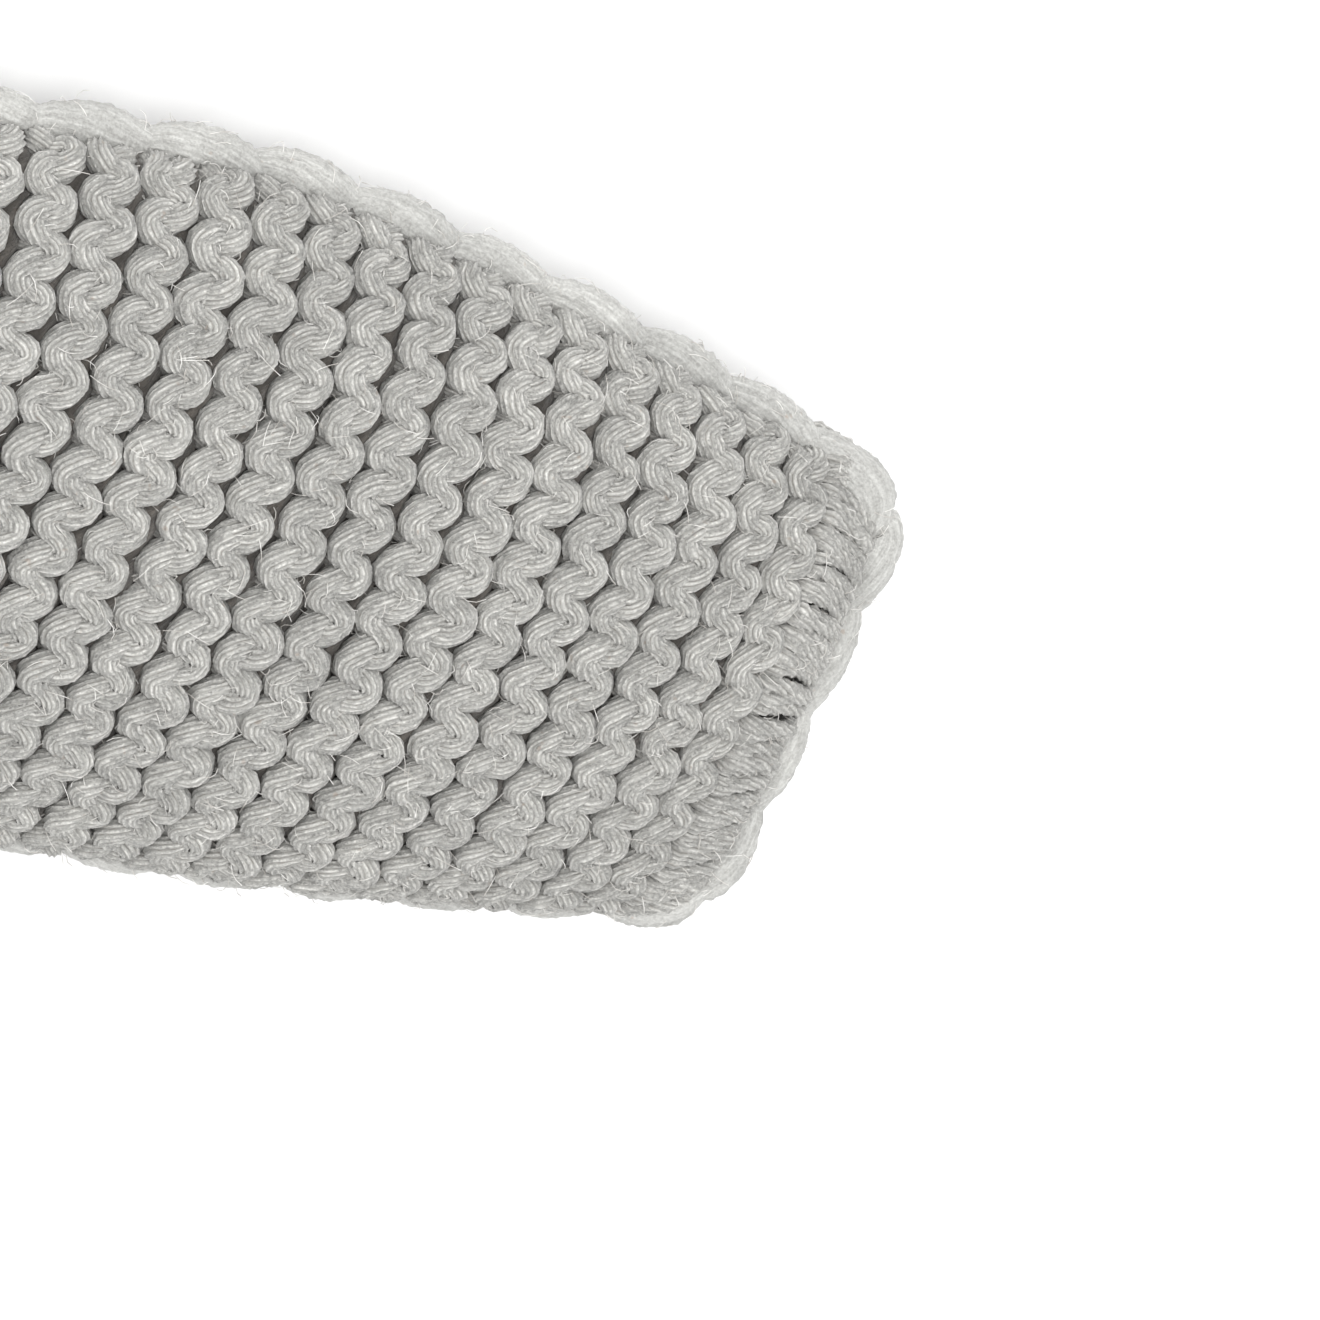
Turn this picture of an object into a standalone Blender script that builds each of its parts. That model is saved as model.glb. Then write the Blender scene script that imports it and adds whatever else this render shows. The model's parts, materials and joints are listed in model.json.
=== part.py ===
"""Rectangular throw pillow: a thick knit cover with a lining, an end zip and a stuffed insert.

The pillow lies on its back. +X points to the closed end, +Y runs along the knit's ridges, and +Z
points out of the front. The origin is at the middle of the bottom. Units are metres.
"""

import math

import bmesh
import bpy
from mathutils import Matrix, Vector

# --- Outer form ------------------------------------------------------------------------------
LENGTH = 0.640
WIDTH_MIDDLE = 0.308
WIDTH_END = 0.204
FRONT_HEIGHT = 0.070
BACK_HEIGHT = 0.070
REST_DEPTH = 0.060
CORNER_RADIUS = 0.030

WIDTH_TAPER_POWER = 1.5
CROWN_POWER_LENGTH = 5.0
CROWN_POWER_WIDTH = 2.3
CORNER_POWER_LENGTH = 22
CORNER_POWER_WIDTH = 12

# --- Layers, from the outside in -------------------------------------------------------------
KNIT_THICKNESS = 0.018
LINING_THICKNESS = 0.0015
CASING_THICKNESS = 0.0012
LAYER_GAP = 0.0008
MEETING_GAP = 0.0003
YARN_RADIUS = 0.0035

# --- Zip -------------------------------------------------------------------------------------
ZIP_LENGTH = 0.112
TEETH_PITCH = 0.004
TOOTH_LENGTH = 0.0021
TOOTH_HEIGHT = 0.0024
TEETH_THICKNESS = 0.0022
TEETH_SPINE = 0.0008
CHAIN_GAP = 0.0014
TAPE_WIDTH = 0.0065
TAPE_THICKNESS = 0.0006
TAPE_MARGIN = 0.003
STOP_LENGTH = 0.003

SLIDER_LENGTH = 0.013
SLIDER_WIDTH = 0.0098
SLIDER_PLATE = 0.0014
SLIDER_CLEARANCE = 0.0004
POST_THICKNESS = 0.0008
POST_LENGTH = 0.0030
CHEEK_THICKNESS = 0.0010
CHEEK_HEIGHT = 0.0036
CHEEK_LENGTH = 0.0040
HINGE_PIN_RADIUS = 0.0008

TAB_LENGTH = 0.018
TAB_WIDTH = 0.0064
TAB_THICKNESS = 0.0012
TAB_EYE_RADIUS = 0.0019
TAB_EYE_WIDTH = 0.0034
TAB_EYE_CLEARANCE = 0.0003

SLOT_CLEARANCE = 0.0025

# --- Mesh fineness ---------------------------------------------------------------------------
CELLS_LENGTH = 22
CELLS_WIDTH = 14
YARN_POINTS = 22
ROUND_SEGMENTS = 14

COLLECTION = "throw_pillow"
CUTTERS = "throw_pillow_cutters"

MIDDLE = Vector((0.0, 0.0, REST_DEPTH))


class Layer:
    """One closed cushion form: half sizes, and the heights of its two domes."""

    def __init__(self, inset, side_room=0.0):
        sideways = inset + side_room
        self.half_length = LENGTH / 2 - sideways
        self.half_middle = WIDTH_MIDDLE / 2 - sideways
        self.half_end = WIDTH_END / 2 - sideways
        self.front = FRONT_HEIGHT - inset
        self.back = BACK_HEIGHT - inset
        self.rest = REST_DEPTH - inset
        self.corner = max(CORNER_RADIUS - sideways, 0.2 * CORNER_RADIUS)

    def half_width(self, share):
        """Half the width at a share of the half length."""
        return self.half_middle - (self.half_middle - self.half_end) * abs(share) ** WIDTH_TAPER_POWER

    def plan(self, along, across):
        """The place in plan of a point given by its two shares, each from -1 to 1."""
        cut = (1 - math.sqrt(0.5)) * self.corner
        corner = abs(along) ** CORNER_POWER_LENGTH * abs(across) ** CORNER_POWER_WIDTH
        half_width = self.half_width(along)
        x = along * (self.half_length - cut * corner)
        y = across * (half_width - cut * corner)
        return x, y

    def dome(self, along, across, is_front):
        """The height above the middle plane, which a cushion's crown and its rest give."""
        rise_length = math.sqrt(max(1 - abs(along) ** CROWN_POWER_LENGTH, 0.0))
        rise_width = math.sqrt(max(1 - abs(across) ** CROWN_POWER_WIDTH, 0.0))
        rise = rise_length * rise_width
        if is_front:
            return self.front * rise
        return min(self.back * rise, self.rest)

    def end_inset(self, height, y):
        """How far the end wall leans in, at this height from the middle plane and at this y."""
        crown = self.back * math.sqrt(1 - (y / self.half_end) ** CROWN_POWER_WIDTH)
        share = (1 - (height / crown) ** 2) ** (1 / CROWN_POWER_LENGTH)
        return self.half_length * (1 - share)


KNIT_OUTER = Layer(0.0)
KNIT_INNER = Layer(KNIT_THICKNESS)

# The zip stands in a plane just inside the knit's end wall.
TAPE_START = CHAIN_GAP / 2 + TEETH_SPINE + TOOTH_HEIGHT + MEETING_GAP
TAPE_TOP = TAPE_START + TAPE_WIDTH
TAPE_HALF_LENGTH = ZIP_LENGTH / 2 + TAPE_MARGIN
TAPE_INSET = KNIT_INNER.end_inset(TAPE_TOP + LAYER_GAP, TAPE_HALF_LENGTH + LAYER_GAP)
ZIP_X = -(KNIT_INNER.half_length - TAPE_INSET - LAYER_GAP - TAPE_THICKNESS / 2)
SLIDER_GAP = TEETH_THICKNESS / 2 + SLIDER_CLEARANCE
SLIDER_INNER_X = ZIP_X + SLIDER_GAP + SLIDER_PLATE
SLOT_HALF_HEIGHT = SLIDER_WIDTH / 2 + SLOT_CLEARANCE

# The lining leaves room all round for the joining yarns and for the zip.
ZIP_DEPTH = KNIT_INNER.half_length + SLIDER_INNER_X
SIDE_ROOM = max(2 * YARN_RADIUS + LAYER_GAP, ZIP_DEPTH) + LAYER_GAP
LINING_INSET = KNIT_THICKNESS + LAYER_GAP
CASING_INSET = LINING_INSET + LINING_THICKNESS + LAYER_GAP
FILL_INSET = CASING_INSET + CASING_THICKNESS + LAYER_GAP
LINING_OUTER = Layer(LINING_INSET, SIDE_ROOM)
LINING_INNER = Layer(LINING_INSET + LINING_THICKNESS, SIDE_ROOM)
CASING_OUTER = Layer(CASING_INSET, SIDE_ROOM)
CASING_INNER = Layer(CASING_INSET + CASING_THICKNESS, SIDE_ROOM)
FILL_OUTER = Layer(FILL_INSET, SIDE_ROOM)

SLIDER_REST_Y = ZIP_LENGTH / 2 - STOP_LENGTH - SLIDER_LENGTH / 2 - SLIDER_CLEARANCE
HINGE_X = ZIP_X - SLIDER_GAP - SLIDER_PLATE - CHEEK_HEIGHT + 2 * HINGE_PIN_RADIUS
HINGE_Y = SLIDER_REST_Y - SLIDER_LENGTH / 4

# The slot also takes the pull tab, which lies past the slider when the zip is open.
SLOT_HALF_LENGTH = SLIDER_REST_Y + SLIDER_LENGTH / 4 + TAB_LENGTH + SLOT_CLEARANCE

# --- Materials: name, colour, roughness, metallic --------------------------------------------
FINISHES = {
    "knit_yarn": ((0.66, 0.645, 0.635, 1.0), 0.95, 0.0),
    "joining_yarn": ((0.62, 0.605, 0.595, 1.0), 0.95, 0.0),
    "lining_cloth": ((0.30, 0.285, 0.275, 1.0), 0.9, 0.0),
    "insert_cloth": ((0.86, 0.85, 0.83, 1.0), 0.9, 0.0),
    "insert_fill": ((0.93, 0.93, 0.92, 1.0), 1.0, 0.0),
    "zip_tape": ((0.56, 0.545, 0.535, 1.0), 0.85, 0.0),
    "zip_teeth": ((0.60, 0.585, 0.575, 1.0), 0.45, 0.0),
    "zip_metal": ((0.62, 0.62, 0.63, 1.0), 0.3, 1.0),
}


def clear_scene():
    """Removes what the scene holds."""
    for obj in list(bpy.data.objects):
        bpy.data.objects.remove(obj, do_unlink=True)


def make_collection(name, is_hidden=False):
    """A collection of this name, in the scene."""
    made = bpy.data.collections.new(name)
    bpy.context.scene.collection.children.link(made)
    made.hide_render = is_hidden
    return made


def finish_material(name):
    """The Principled material of this name, made once."""
    made = bpy.data.materials.get(name)
    if made:
        return made
    colour, roughness, metallic = FINISHES[name]
    made = bpy.data.materials.new(name)
    made.use_nodes = True
    shader = made.node_tree.nodes["Principled BSDF"]
    shader.inputs["Base Color"].default_value = colour
    shader.inputs["Roughness"].default_value = roughness
    shader.inputs["Metallic"].default_value = metallic
    made.diffuse_color = colour
    return made


def add_object(name, data, material, collection):
    """A new object in this collection, with this material."""
    obj = bpy.data.objects.new(name, data)
    collection.objects.link(obj)
    data.materials.append(finish_material(material))
    return obj


def object_from_bmesh(name, shape, material, collection):
    """A new mesh object from a bmesh, with its faces turned outwards."""
    bmesh.ops.recalc_face_normals(shape, faces=shape.faces)
    if shape.calc_volume(signed=True) < 0:
        bmesh.ops.reverse_faces(shape, faces=shape.faces)
    mesh = bpy.data.meshes.new(name)
    shape.to_mesh(mesh)
    shape.free()
    return add_object(name, mesh, material, collection)


def shape_dome(verts, layer, is_front, base_gap):
    """Bends points of the flat unit grid into one dome of a layer, above or below the middle."""
    side = 1 if is_front else -1
    for vert in verts:
        # The steps shorten towards the edges, where the form turns fastest.
        along = math.sin(math.pi / 2 * vert.co.x)
        across = math.sin(math.pi / 2 * vert.co.y)
        x, y = layer.plan(along, across)
        rise = layer.dome(along, across, is_front)
        height = base_gap + rise * (1 - base_gap / (layer.front if is_front else layer.rest))
        vert.co = MIDDLE + Vector((x, y, side * height))


def double_grid():
    """A flat unit grid with a second one on it, joined round the edge: (bmesh, first, second)."""
    shape = bmesh.new()
    grid = bmesh.ops.create_grid(shape, x_segments=CELLS_LENGTH, y_segments=CELLS_WIDTH, size=1.0)
    extruded = bmesh.ops.extrude_face_region(shape, geom=list(shape.faces), use_keep_orig=True)
    second = [part for part in extruded["geom"] if isinstance(part, bmesh.types.BMVert)]
    return shape, grid["verts"], second


def make_shell(name, outer, inner, is_front, material, collection):
    """A bowl between two layers, whose flat rim faces the other bowl across a small gap."""
    shape, first, second = double_grid()
    shape_dome(first, outer, is_front, MEETING_GAP / 2)
    shape_dome(second, inner, is_front, MEETING_GAP / 2)
    return object_from_bmesh(name, shape, material, collection)


def make_filled_form(name, layer, material, collection):
    """A solid cushion of two domes that share one edge."""
    shape, first, second = double_grid()
    shape_dome(first, layer, True, 0.0)
    shape_dome(second, layer, False, 0.0)
    bmesh.ops.remove_doubles(shape, verts=shape.verts, dist=0.00001)
    return object_from_bmesh(name, shape, material, collection)


def make_box(name, low, high, material, collection):
    """A box between two corners."""
    shape = bmesh.new()
    size = Vector(high) - Vector(low)
    centre = (Vector(high) + Vector(low)) / 2
    bmesh.ops.create_cube(shape, size=1.0, matrix=Matrix.Translation(centre) @ Matrix.Diagonal((*size, 1)))
    return object_from_bmesh(name, shape, material, collection)


def make_pin(name, centre, radius, length, material, collection):
    """A cylinder along Z."""
    shape = bmesh.new()
    bmesh.ops.create_cone(
        shape,
        cap_ends=True,
        segments=ROUND_SEGMENTS,
        radius1=radius,
        radius2=radius,
        depth=length,
        matrix=Matrix.Translation(centre),
    )
    return object_from_bmesh(name, shape, material, collection)


def make_tube(name, points, radius, material, collection):
    """A yarn through these points, as a curve with closed ends."""
    curve = bpy.data.curves.new(name, "CURVE")
    curve.dimensions = "3D"
    curve.bevel_depth = radius
    curve.bevel_resolution = 2
    curve.use_fill_caps = True
    spline = curve.splines.new("POLY")
    spline.points.add(len(points) - 1)
    for point, place in zip(spline.points, points):
        point.co = (*place, 1.0)
    return add_object(name, curve, material, collection)


def make_extruded_outline(name, outline, thickness, matrix, material, collection):
    """A flat outline given a thickness along its own Z, made a mesh and placed by a matrix."""
    curve = bpy.data.curves.new(name, "CURVE")
    curve.dimensions = "2D"
    curve.fill_mode = "BOTH"
    curve.extrude = thickness / 2
    spline = curve.splines.new("POLY")
    spline.points.add(len(outline) - 1)
    spline.use_cyclic_u = True
    for point, place in zip(spline.points, outline):
        point.co = (*place, 0.0, 1.0)
    helper = bpy.data.objects.new(name + "_outline", curve)
    collection.objects.link(helper)
    evaluated = helper.evaluated_get(bpy.context.evaluated_depsgraph_get())
    mesh = bpy.data.meshes.new_from_object(evaluated)
    bpy.data.objects.remove(helper, do_unlink=True)
    shape = bmesh.new()
    shape.from_mesh(mesh)
    bpy.data.meshes.remove(mesh)
    bmesh.ops.remove_doubles(shape, verts=shape.verts, dist=0.00001)
    shape.transform(matrix)
    return object_from_bmesh(name, shape, material, collection)


def join_with(obj, cutter, operation):
    """Adds an exact Boolean of a hidden helper to an object."""
    cutter.hide_render = True
    cutter.display_type = "WIRE"
    modifier = obj.modifiers.new(cutter.name, "BOOLEAN")
    modifier.operation = operation
    modifier.solver = "EXACT"
    modifier.object = cutter


def make_knit_panels(parts, cutters):
    """The two knit panels, with a slot for the zip through both at one end."""
    for name, is_front in (("front_knit_panel", True), ("back_knit_panel", False)):
        panel = make_shell(name, KNIT_OUTER, KNIT_INNER, is_front, "knit_yarn", parts)
        slot = make_box(
            name + "_zip_slot",
            (-LENGTH / 2 - KNIT_THICKNESS, -SLOT_HALF_LENGTH, REST_DEPTH - SLOT_HALF_HEIGHT),
            (SLIDER_INNER_X + LAYER_GAP, SLOT_HALF_LENGTH, REST_DEPTH + SLOT_HALF_HEIGHT),
            "knit_yarn",
            cutters,
        )
        join_with(panel, slot, "DIFFERENCE")


def side_yarn_points(side):
    """A yarn's path just inside a long side's edge, from one end to the other."""
    reach = 1 - (CORNER_RADIUS + 3 * YARN_RADIUS) / KNIT_INNER.half_length
    points = []
    for step in range(YARN_POINTS + 1):
        along = reach * (2 * step / YARN_POINTS - 1)
        x = along * KNIT_INNER.half_length
        y = side * (KNIT_INNER.half_width(along) - YARN_RADIUS - LAYER_GAP)
        points.append(MIDDLE + Vector((x, y, 0.0)))
    return points


def end_yarn_points():
    """A straight path just inside the closed end."""
    reach = KNIT_INNER.half_end - CORNER_RADIUS - 3 * YARN_RADIUS
    x = KNIT_INNER.half_length - YARN_RADIUS - LAYER_GAP
    steps = YARN_POINTS // 2
    return [MIDDLE + Vector((x, reach * (2 * step / steps - 1), 0.0)) for step in range(steps + 1)]


def make_joining_yarns(parts):
    """The yarns that join the two panels along both long sides and the closed end."""
    make_tube("far_side_joining_yarn", side_yarn_points(1), YARN_RADIUS, "joining_yarn", parts)
    make_tube("near_side_joining_yarn", side_yarn_points(-1), YARN_RADIUS, "joining_yarn", parts)
    make_tube("end_joining_yarn", end_yarn_points(), YARN_RADIUS, "joining_yarn", parts)


def make_lining_and_insert(parts):
    """The lining's two halves, the insert's two casing halves, and its fill."""
    for side, is_front in (("front", True), ("back", False)):
        make_shell("lining_" + side, LINING_OUTER, LINING_INNER, is_front, "lining_cloth", parts)
        make_shell("insert_casing_" + side, CASING_OUTER, CASING_INNER, is_front, "insert_cloth", parts)
    make_filled_form("insert_fill", FILL_OUTER, "insert_fill", parts)


def teeth_outline(side):
    """A comb in the zip's plane: a straight spine away from the middle, with a row of teeth."""
    low = -ZIP_LENGTH / 2 + STOP_LENGTH + MEETING_GAP
    high = ZIP_LENGTH / 2 - STOP_LENGTH - MEETING_GAP
    tip = side * CHAIN_GAP / 2
    root = side * (CHAIN_GAP / 2 + TOOTH_HEIGHT)
    spine = side * (CHAIN_GAP / 2 + TOOTH_HEIGHT + TEETH_SPINE)
    count = int((high - low) / TEETH_PITCH)
    start = low + ((high - low) - count * TEETH_PITCH) / 2
    outline = [(low, spine), (low, root)]
    for index in range(count):
        near = start + index * TEETH_PITCH + (TEETH_PITCH - TOOTH_LENGTH) / 2
        far = near + TOOTH_LENGTH
        outline += [(near, root), (near, tip), (far, tip), (far, root)]
    outline += [(high, root), (high, spine)]
    return outline


def make_zip_chain(parts):
    """Tapes, teeth and stops, which stand in one plane across the open end."""
    # The outline's X runs along the zip, its Y is up, and its thickness is along the pillow.
    upright = Matrix.Translation((ZIP_X, 0, REST_DEPTH)) @ Matrix(
        ((0, 0, 1, 0), (1, 0, 0, 0), (0, 1, 0, 0), (0, 0, 0, 1))
    )
    stop_outer = CHAIN_GAP / 2 + TOOTH_HEIGHT + TEETH_SPINE
    for name, side in (("front", 1), ("back", -1)):
        make_extruded_outline(
            "zip_teeth_" + name, teeth_outline(side), TEETH_THICKNESS, upright, "zip_teeth", parts
        )
        edges = sorted((REST_DEPTH + side * TAPE_START, REST_DEPTH + side * TAPE_TOP))
        make_box(
            "zip_tape_" + name,
            (ZIP_X - TAPE_THICKNESS / 2, -TAPE_HALF_LENGTH, edges[0]),
            (ZIP_X + TAPE_THICKNESS / 2, TAPE_HALF_LENGTH, edges[1]),
            "zip_tape",
            parts,
        )
        edges = sorted((REST_DEPTH + side * CHAIN_GAP / 2, REST_DEPTH + side * stop_outer))
        make_box(
            "zip_top_stop_" + name,
            (ZIP_X - TEETH_THICKNESS / 2, ZIP_LENGTH / 2 - STOP_LENGTH, edges[0]),
            (ZIP_X + TEETH_THICKNESS / 2, ZIP_LENGTH / 2, edges[1]),
            "zip_metal",
            parts,
        )
    make_box(
        "zip_bottom_stop",
        (ZIP_X - TEETH_THICKNESS / 2, -ZIP_LENGTH / 2, REST_DEPTH - stop_outer),
        (ZIP_X + TEETH_THICKNESS / 2, -ZIP_LENGTH / 2 + STOP_LENGTH, REST_DEPTH + stop_outer),
        "zip_metal",
        parts,
    )


def make_slider(parts, cutters):
    """The slider: two plates round the teeth, a thin post between them, and a pinned hinge."""
    middle = REST_DEPTH
    near_y = SLIDER_REST_Y - SLIDER_LENGTH / 2
    far_y = SLIDER_REST_Y + SLIDER_LENGTH / 2
    outer_x = ZIP_X - SLIDER_GAP
    inner_x = ZIP_X + SLIDER_GAP
    slider = make_box(
        "zip_slider",
        (outer_x - SLIDER_PLATE, near_y, middle - SLIDER_WIDTH / 2),
        (outer_x, far_y, middle + SLIDER_WIDTH / 2),
        "zip_metal",
        parts,
    )
    inner_plate = make_box(
        "slider_inner_plate",
        (inner_x, near_y, middle - SLIDER_WIDTH / 2),
        (SLIDER_INNER_X, far_y, middle + SLIDER_WIDTH / 2),
        "zip_metal",
        cutters,
    )
    overlap = SLIDER_PLATE / 2
    post = make_box(
        "slider_post",
        (outer_x - overlap, far_y - POST_LENGTH, middle - POST_THICKNESS / 2),
        (inner_x + overlap, far_y, middle + POST_THICKNESS / 2),
        "zip_metal",
        cutters,
    )
    join_with(slider, post, "UNION")
    join_with(slider, inner_plate, "UNION")
    cheek_gap = TAB_EYE_WIDTH / 2 + TAB_EYE_CLEARANCE
    for name, side in (("upper", 1), ("lower", -1)):
        edges = sorted((middle + side * cheek_gap, middle + side * (cheek_gap + CHEEK_THICKNESS)))
        cheek = make_box(
            "slider_cheek_" + name,
            (outer_x - SLIDER_PLATE - CHEEK_HEIGHT, HINGE_Y - CHEEK_LENGTH / 2, edges[0]),
            (outer_x - overlap, HINGE_Y + CHEEK_LENGTH / 2, edges[1]),
            "zip_metal",
            cutters,
        )
        join_with(slider, cheek, "UNION")
    pin = make_pin(
        "slider_hinge_pin",
        Vector((HINGE_X, HINGE_Y, middle)),
        HINGE_PIN_RADIUS,
        2 * cheek_gap + CHEEK_THICKNESS,
        "zip_metal",
        cutters,
    )
    join_with(slider, pin, "UNION")


def make_pull_tab(parts, cutters):
    """The pull tab: a flat blade with a round eye that turns on the slider's pin."""
    axis = bpy.data.objects.new("pull_tab_axis", None)
    axis.location = (HINGE_X, HINGE_Y, REST_DEPTH)
    parts.objects.link(axis)
    half_width = TAB_WIDTH / 2
    neck = TAB_EYE_WIDTH / 2
    shoulder = CHEEK_LENGTH / 2 + TAB_EYE_RADIUS
    round_end = []
    for step in range(ROUND_SEGMENTS // 2 + 1):
        turn = math.pi * step / (ROUND_SEGMENTS // 2)
        round_end.append(
            (-(TAB_LENGTH - half_width) - half_width * math.sin(turn), half_width * math.cos(turn))
        )
    outline = [(0.0, -neck), (0.0, neck), (-shoulder, neck), (-shoulder - neck, half_width)]
    outline += round_end
    outline += [(-shoulder - neck, -half_width), (-shoulder, -neck)]
    lying = Matrix(((0, 0, 1, 0), (1, 0, 0, 0), (0, 1, 0, 0), (0, 0, 0, 1)))
    tab = make_extruded_outline("zip_pull_tab", outline, TAB_THICKNESS, lying, "zip_metal", parts)
    eye = make_pin("pull_tab_eye", Vector(), TAB_EYE_RADIUS, TAB_EYE_WIDTH, "zip_metal", cutters)
    bore_radius = HINGE_PIN_RADIUS + TAB_EYE_CLEARANCE
    bore = make_pin("pull_tab_bore", Vector(), bore_radius, 2 * TAB_WIDTH, "zip_metal", cutters)
    for piece in (tab, eye, bore):
        piece.parent = axis
    join_with(tab, eye, "UNION")
    join_with(tab, bore, "DIFFERENCE")


def main():
    """Builds the whole pillow."""
    clear_scene()
    parts = make_collection(COLLECTION)
    cutters = make_collection(CUTTERS, is_hidden=True)
    make_knit_panels(parts, cutters)
    make_joining_yarns(parts)
    make_lining_and_insert(parts)
    make_zip_chain(parts)
    make_slider(parts, cutters)
    make_pull_tab(parts, cutters)


main()
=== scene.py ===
"""The looks of a rectangular throw pillow in a thick, soft garter-stitch knit.

The knit is made of its yarns: every ridge is two rows of loops that lock into each other. The
panels, the strands that fan over the ends and the rolls round the edge are all tubes whose section
is a ring of strands.
"""

import json
import logging
import math
from dataclasses import dataclass, field, replace
from enum import Enum

import bmesh
import bpy
import numpy as np
from mathutils import Matrix, Vector

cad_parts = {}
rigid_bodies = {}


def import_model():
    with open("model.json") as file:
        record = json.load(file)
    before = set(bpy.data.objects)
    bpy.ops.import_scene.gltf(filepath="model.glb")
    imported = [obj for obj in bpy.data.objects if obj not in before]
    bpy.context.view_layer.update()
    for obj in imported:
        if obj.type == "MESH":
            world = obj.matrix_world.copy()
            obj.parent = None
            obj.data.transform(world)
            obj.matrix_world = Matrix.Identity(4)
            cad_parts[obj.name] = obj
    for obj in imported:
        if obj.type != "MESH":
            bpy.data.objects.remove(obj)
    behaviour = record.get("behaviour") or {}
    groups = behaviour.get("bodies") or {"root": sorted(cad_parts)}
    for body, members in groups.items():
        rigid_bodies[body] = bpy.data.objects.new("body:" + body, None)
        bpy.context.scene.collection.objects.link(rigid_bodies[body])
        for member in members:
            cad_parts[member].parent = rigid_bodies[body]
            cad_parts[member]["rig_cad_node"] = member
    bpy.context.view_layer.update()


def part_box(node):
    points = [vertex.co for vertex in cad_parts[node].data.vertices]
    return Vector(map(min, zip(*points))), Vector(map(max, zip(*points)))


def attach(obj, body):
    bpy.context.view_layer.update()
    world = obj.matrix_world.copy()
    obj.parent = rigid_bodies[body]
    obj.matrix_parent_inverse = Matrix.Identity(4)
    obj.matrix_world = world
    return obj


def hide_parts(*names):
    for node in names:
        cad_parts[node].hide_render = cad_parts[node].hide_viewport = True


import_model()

LOG = logging.getLogger("throw_pillow")
COVER = "cover"


class Side(Enum):
    """The two faces of the pillow, by the sign of their height."""

    FRONT = 1
    BACK = -1


class Arc(Enum):
    """The two kinds of loop that lock together in a ridge, by the way their heads point."""

    LEFT = 1
    RIGHT = -1


# ---------------------------------------------------------------------------------------------
# Node helpers
# ---------------------------------------------------------------------------------------------


@dataclass
class NodeBoard:
    """A small writer for a node tree."""

    tree: bpy.types.NodeTree

    def add(self, kind: str, **settings: object) -> bpy.types.Node:
        """Add a node and set its properties.

        Args:
            kind: The node's class name.
            **settings: Property names and values.

        Returns:
            The new node.
        """
        node = self.tree.nodes.new(kind)
        for name, value in settings.items():
            setattr(node, name, value)
        return node

    def link(self, source: object, target: object) -> None:
        """Join an output socket to an input socket."""
        self.tree.links.new(source, target)

    def feed(self, target: object, value: object) -> None:
        """Give an input a link when the value is a socket, or else a plain value."""
        if isinstance(value, bpy.types.NodeSocket):
            self.link(value, target)
        else:
            target.default_value = value

    def math(self, operation: str, first: object, second: object = 0.0) -> bpy.types.NodeSocket:
        """Return the result of a Math node on two values or sockets."""
        node = self.add("ShaderNodeMath", operation=operation)
        self.feed(node.inputs[0], first)
        self.feed(node.inputs[1], second)
        return node.outputs[0]

    def mix(self, blend: str, factor: object, first: object, second: object) -> bpy.types.NodeSocket:
        """Return the colour that a Mix node makes of two colours.

        Args:
            blend: The blend type, such as MIX or MULTIPLY.
            factor: A share or a socket.
            first: The colour at factor 0.
            second: The colour at factor 1.

        Returns:
            The colour socket.
        """
        node = self.add("ShaderNodeMix", data_type="RGBA", blend_type=blend)
        self.feed(node.inputs[0], factor)
        self.feed(node.inputs[6], first)
        self.feed(node.inputs[7], second)
        return node.outputs[2]

    def noise(
        self, vector: object, scale: float, detail: float, roughness: float = 0.5
    ) -> bpy.types.NodeSocket:
        """Return a noise value from 0 to 1.

        Args:
            vector: The coordinate socket.
            scale: The noise's scale.
            detail: Its number of octaves.
            roughness: How strong the small octaves are.

        Returns:
            The value socket.
        """
        node = self.add("ShaderNodeTexNoise")
        self.link(vector, node.inputs["Vector"])
        node.inputs["Scale"].default_value = scale
        node.inputs["Detail"].default_value = detail
        node.inputs["Roughness"].default_value = roughness
        return node.outputs[0]

    def spread(
        self, value: object, low: float, high: float, to_low: float = 0.0, to_high: float = 1.0
    ) -> bpy.types.NodeSocket:
        """Return a value stretched from one range to another, and held inside it."""
        node = self.add("ShaderNodeMapRange")
        self.feed(node.inputs["Value"], value)
        node.inputs["From Min"].default_value = low
        node.inputs["From Max"].default_value = high
        node.inputs["To Min"].default_value = to_low
        node.inputs["To Max"].default_value = to_high
        return node.outputs[0]


def make_group(name: str, inputs: dict[str, tuple[str, object]], outputs: dict[str, str]) -> NodeBoard:
    """Make a shader node group with named sockets.

    Args:
        name: The group's name.
        inputs: Socket names with their type and default value.
        outputs: Socket names with their type.

    Returns:
        A board on the new group.
    """
    tree = bpy.data.node_groups.new(name, "ShaderNodeTree")
    for label, (kind, default) in inputs.items():
        socket = tree.interface.new_socket(label, in_out="INPUT", socket_type=kind)
        if default is not None:
            socket.default_value = default
    for label, kind in outputs.items():
        tree.interface.new_socket(label, in_out="OUTPUT", socket_type=kind)
    return NodeBoard(tree)


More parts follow.
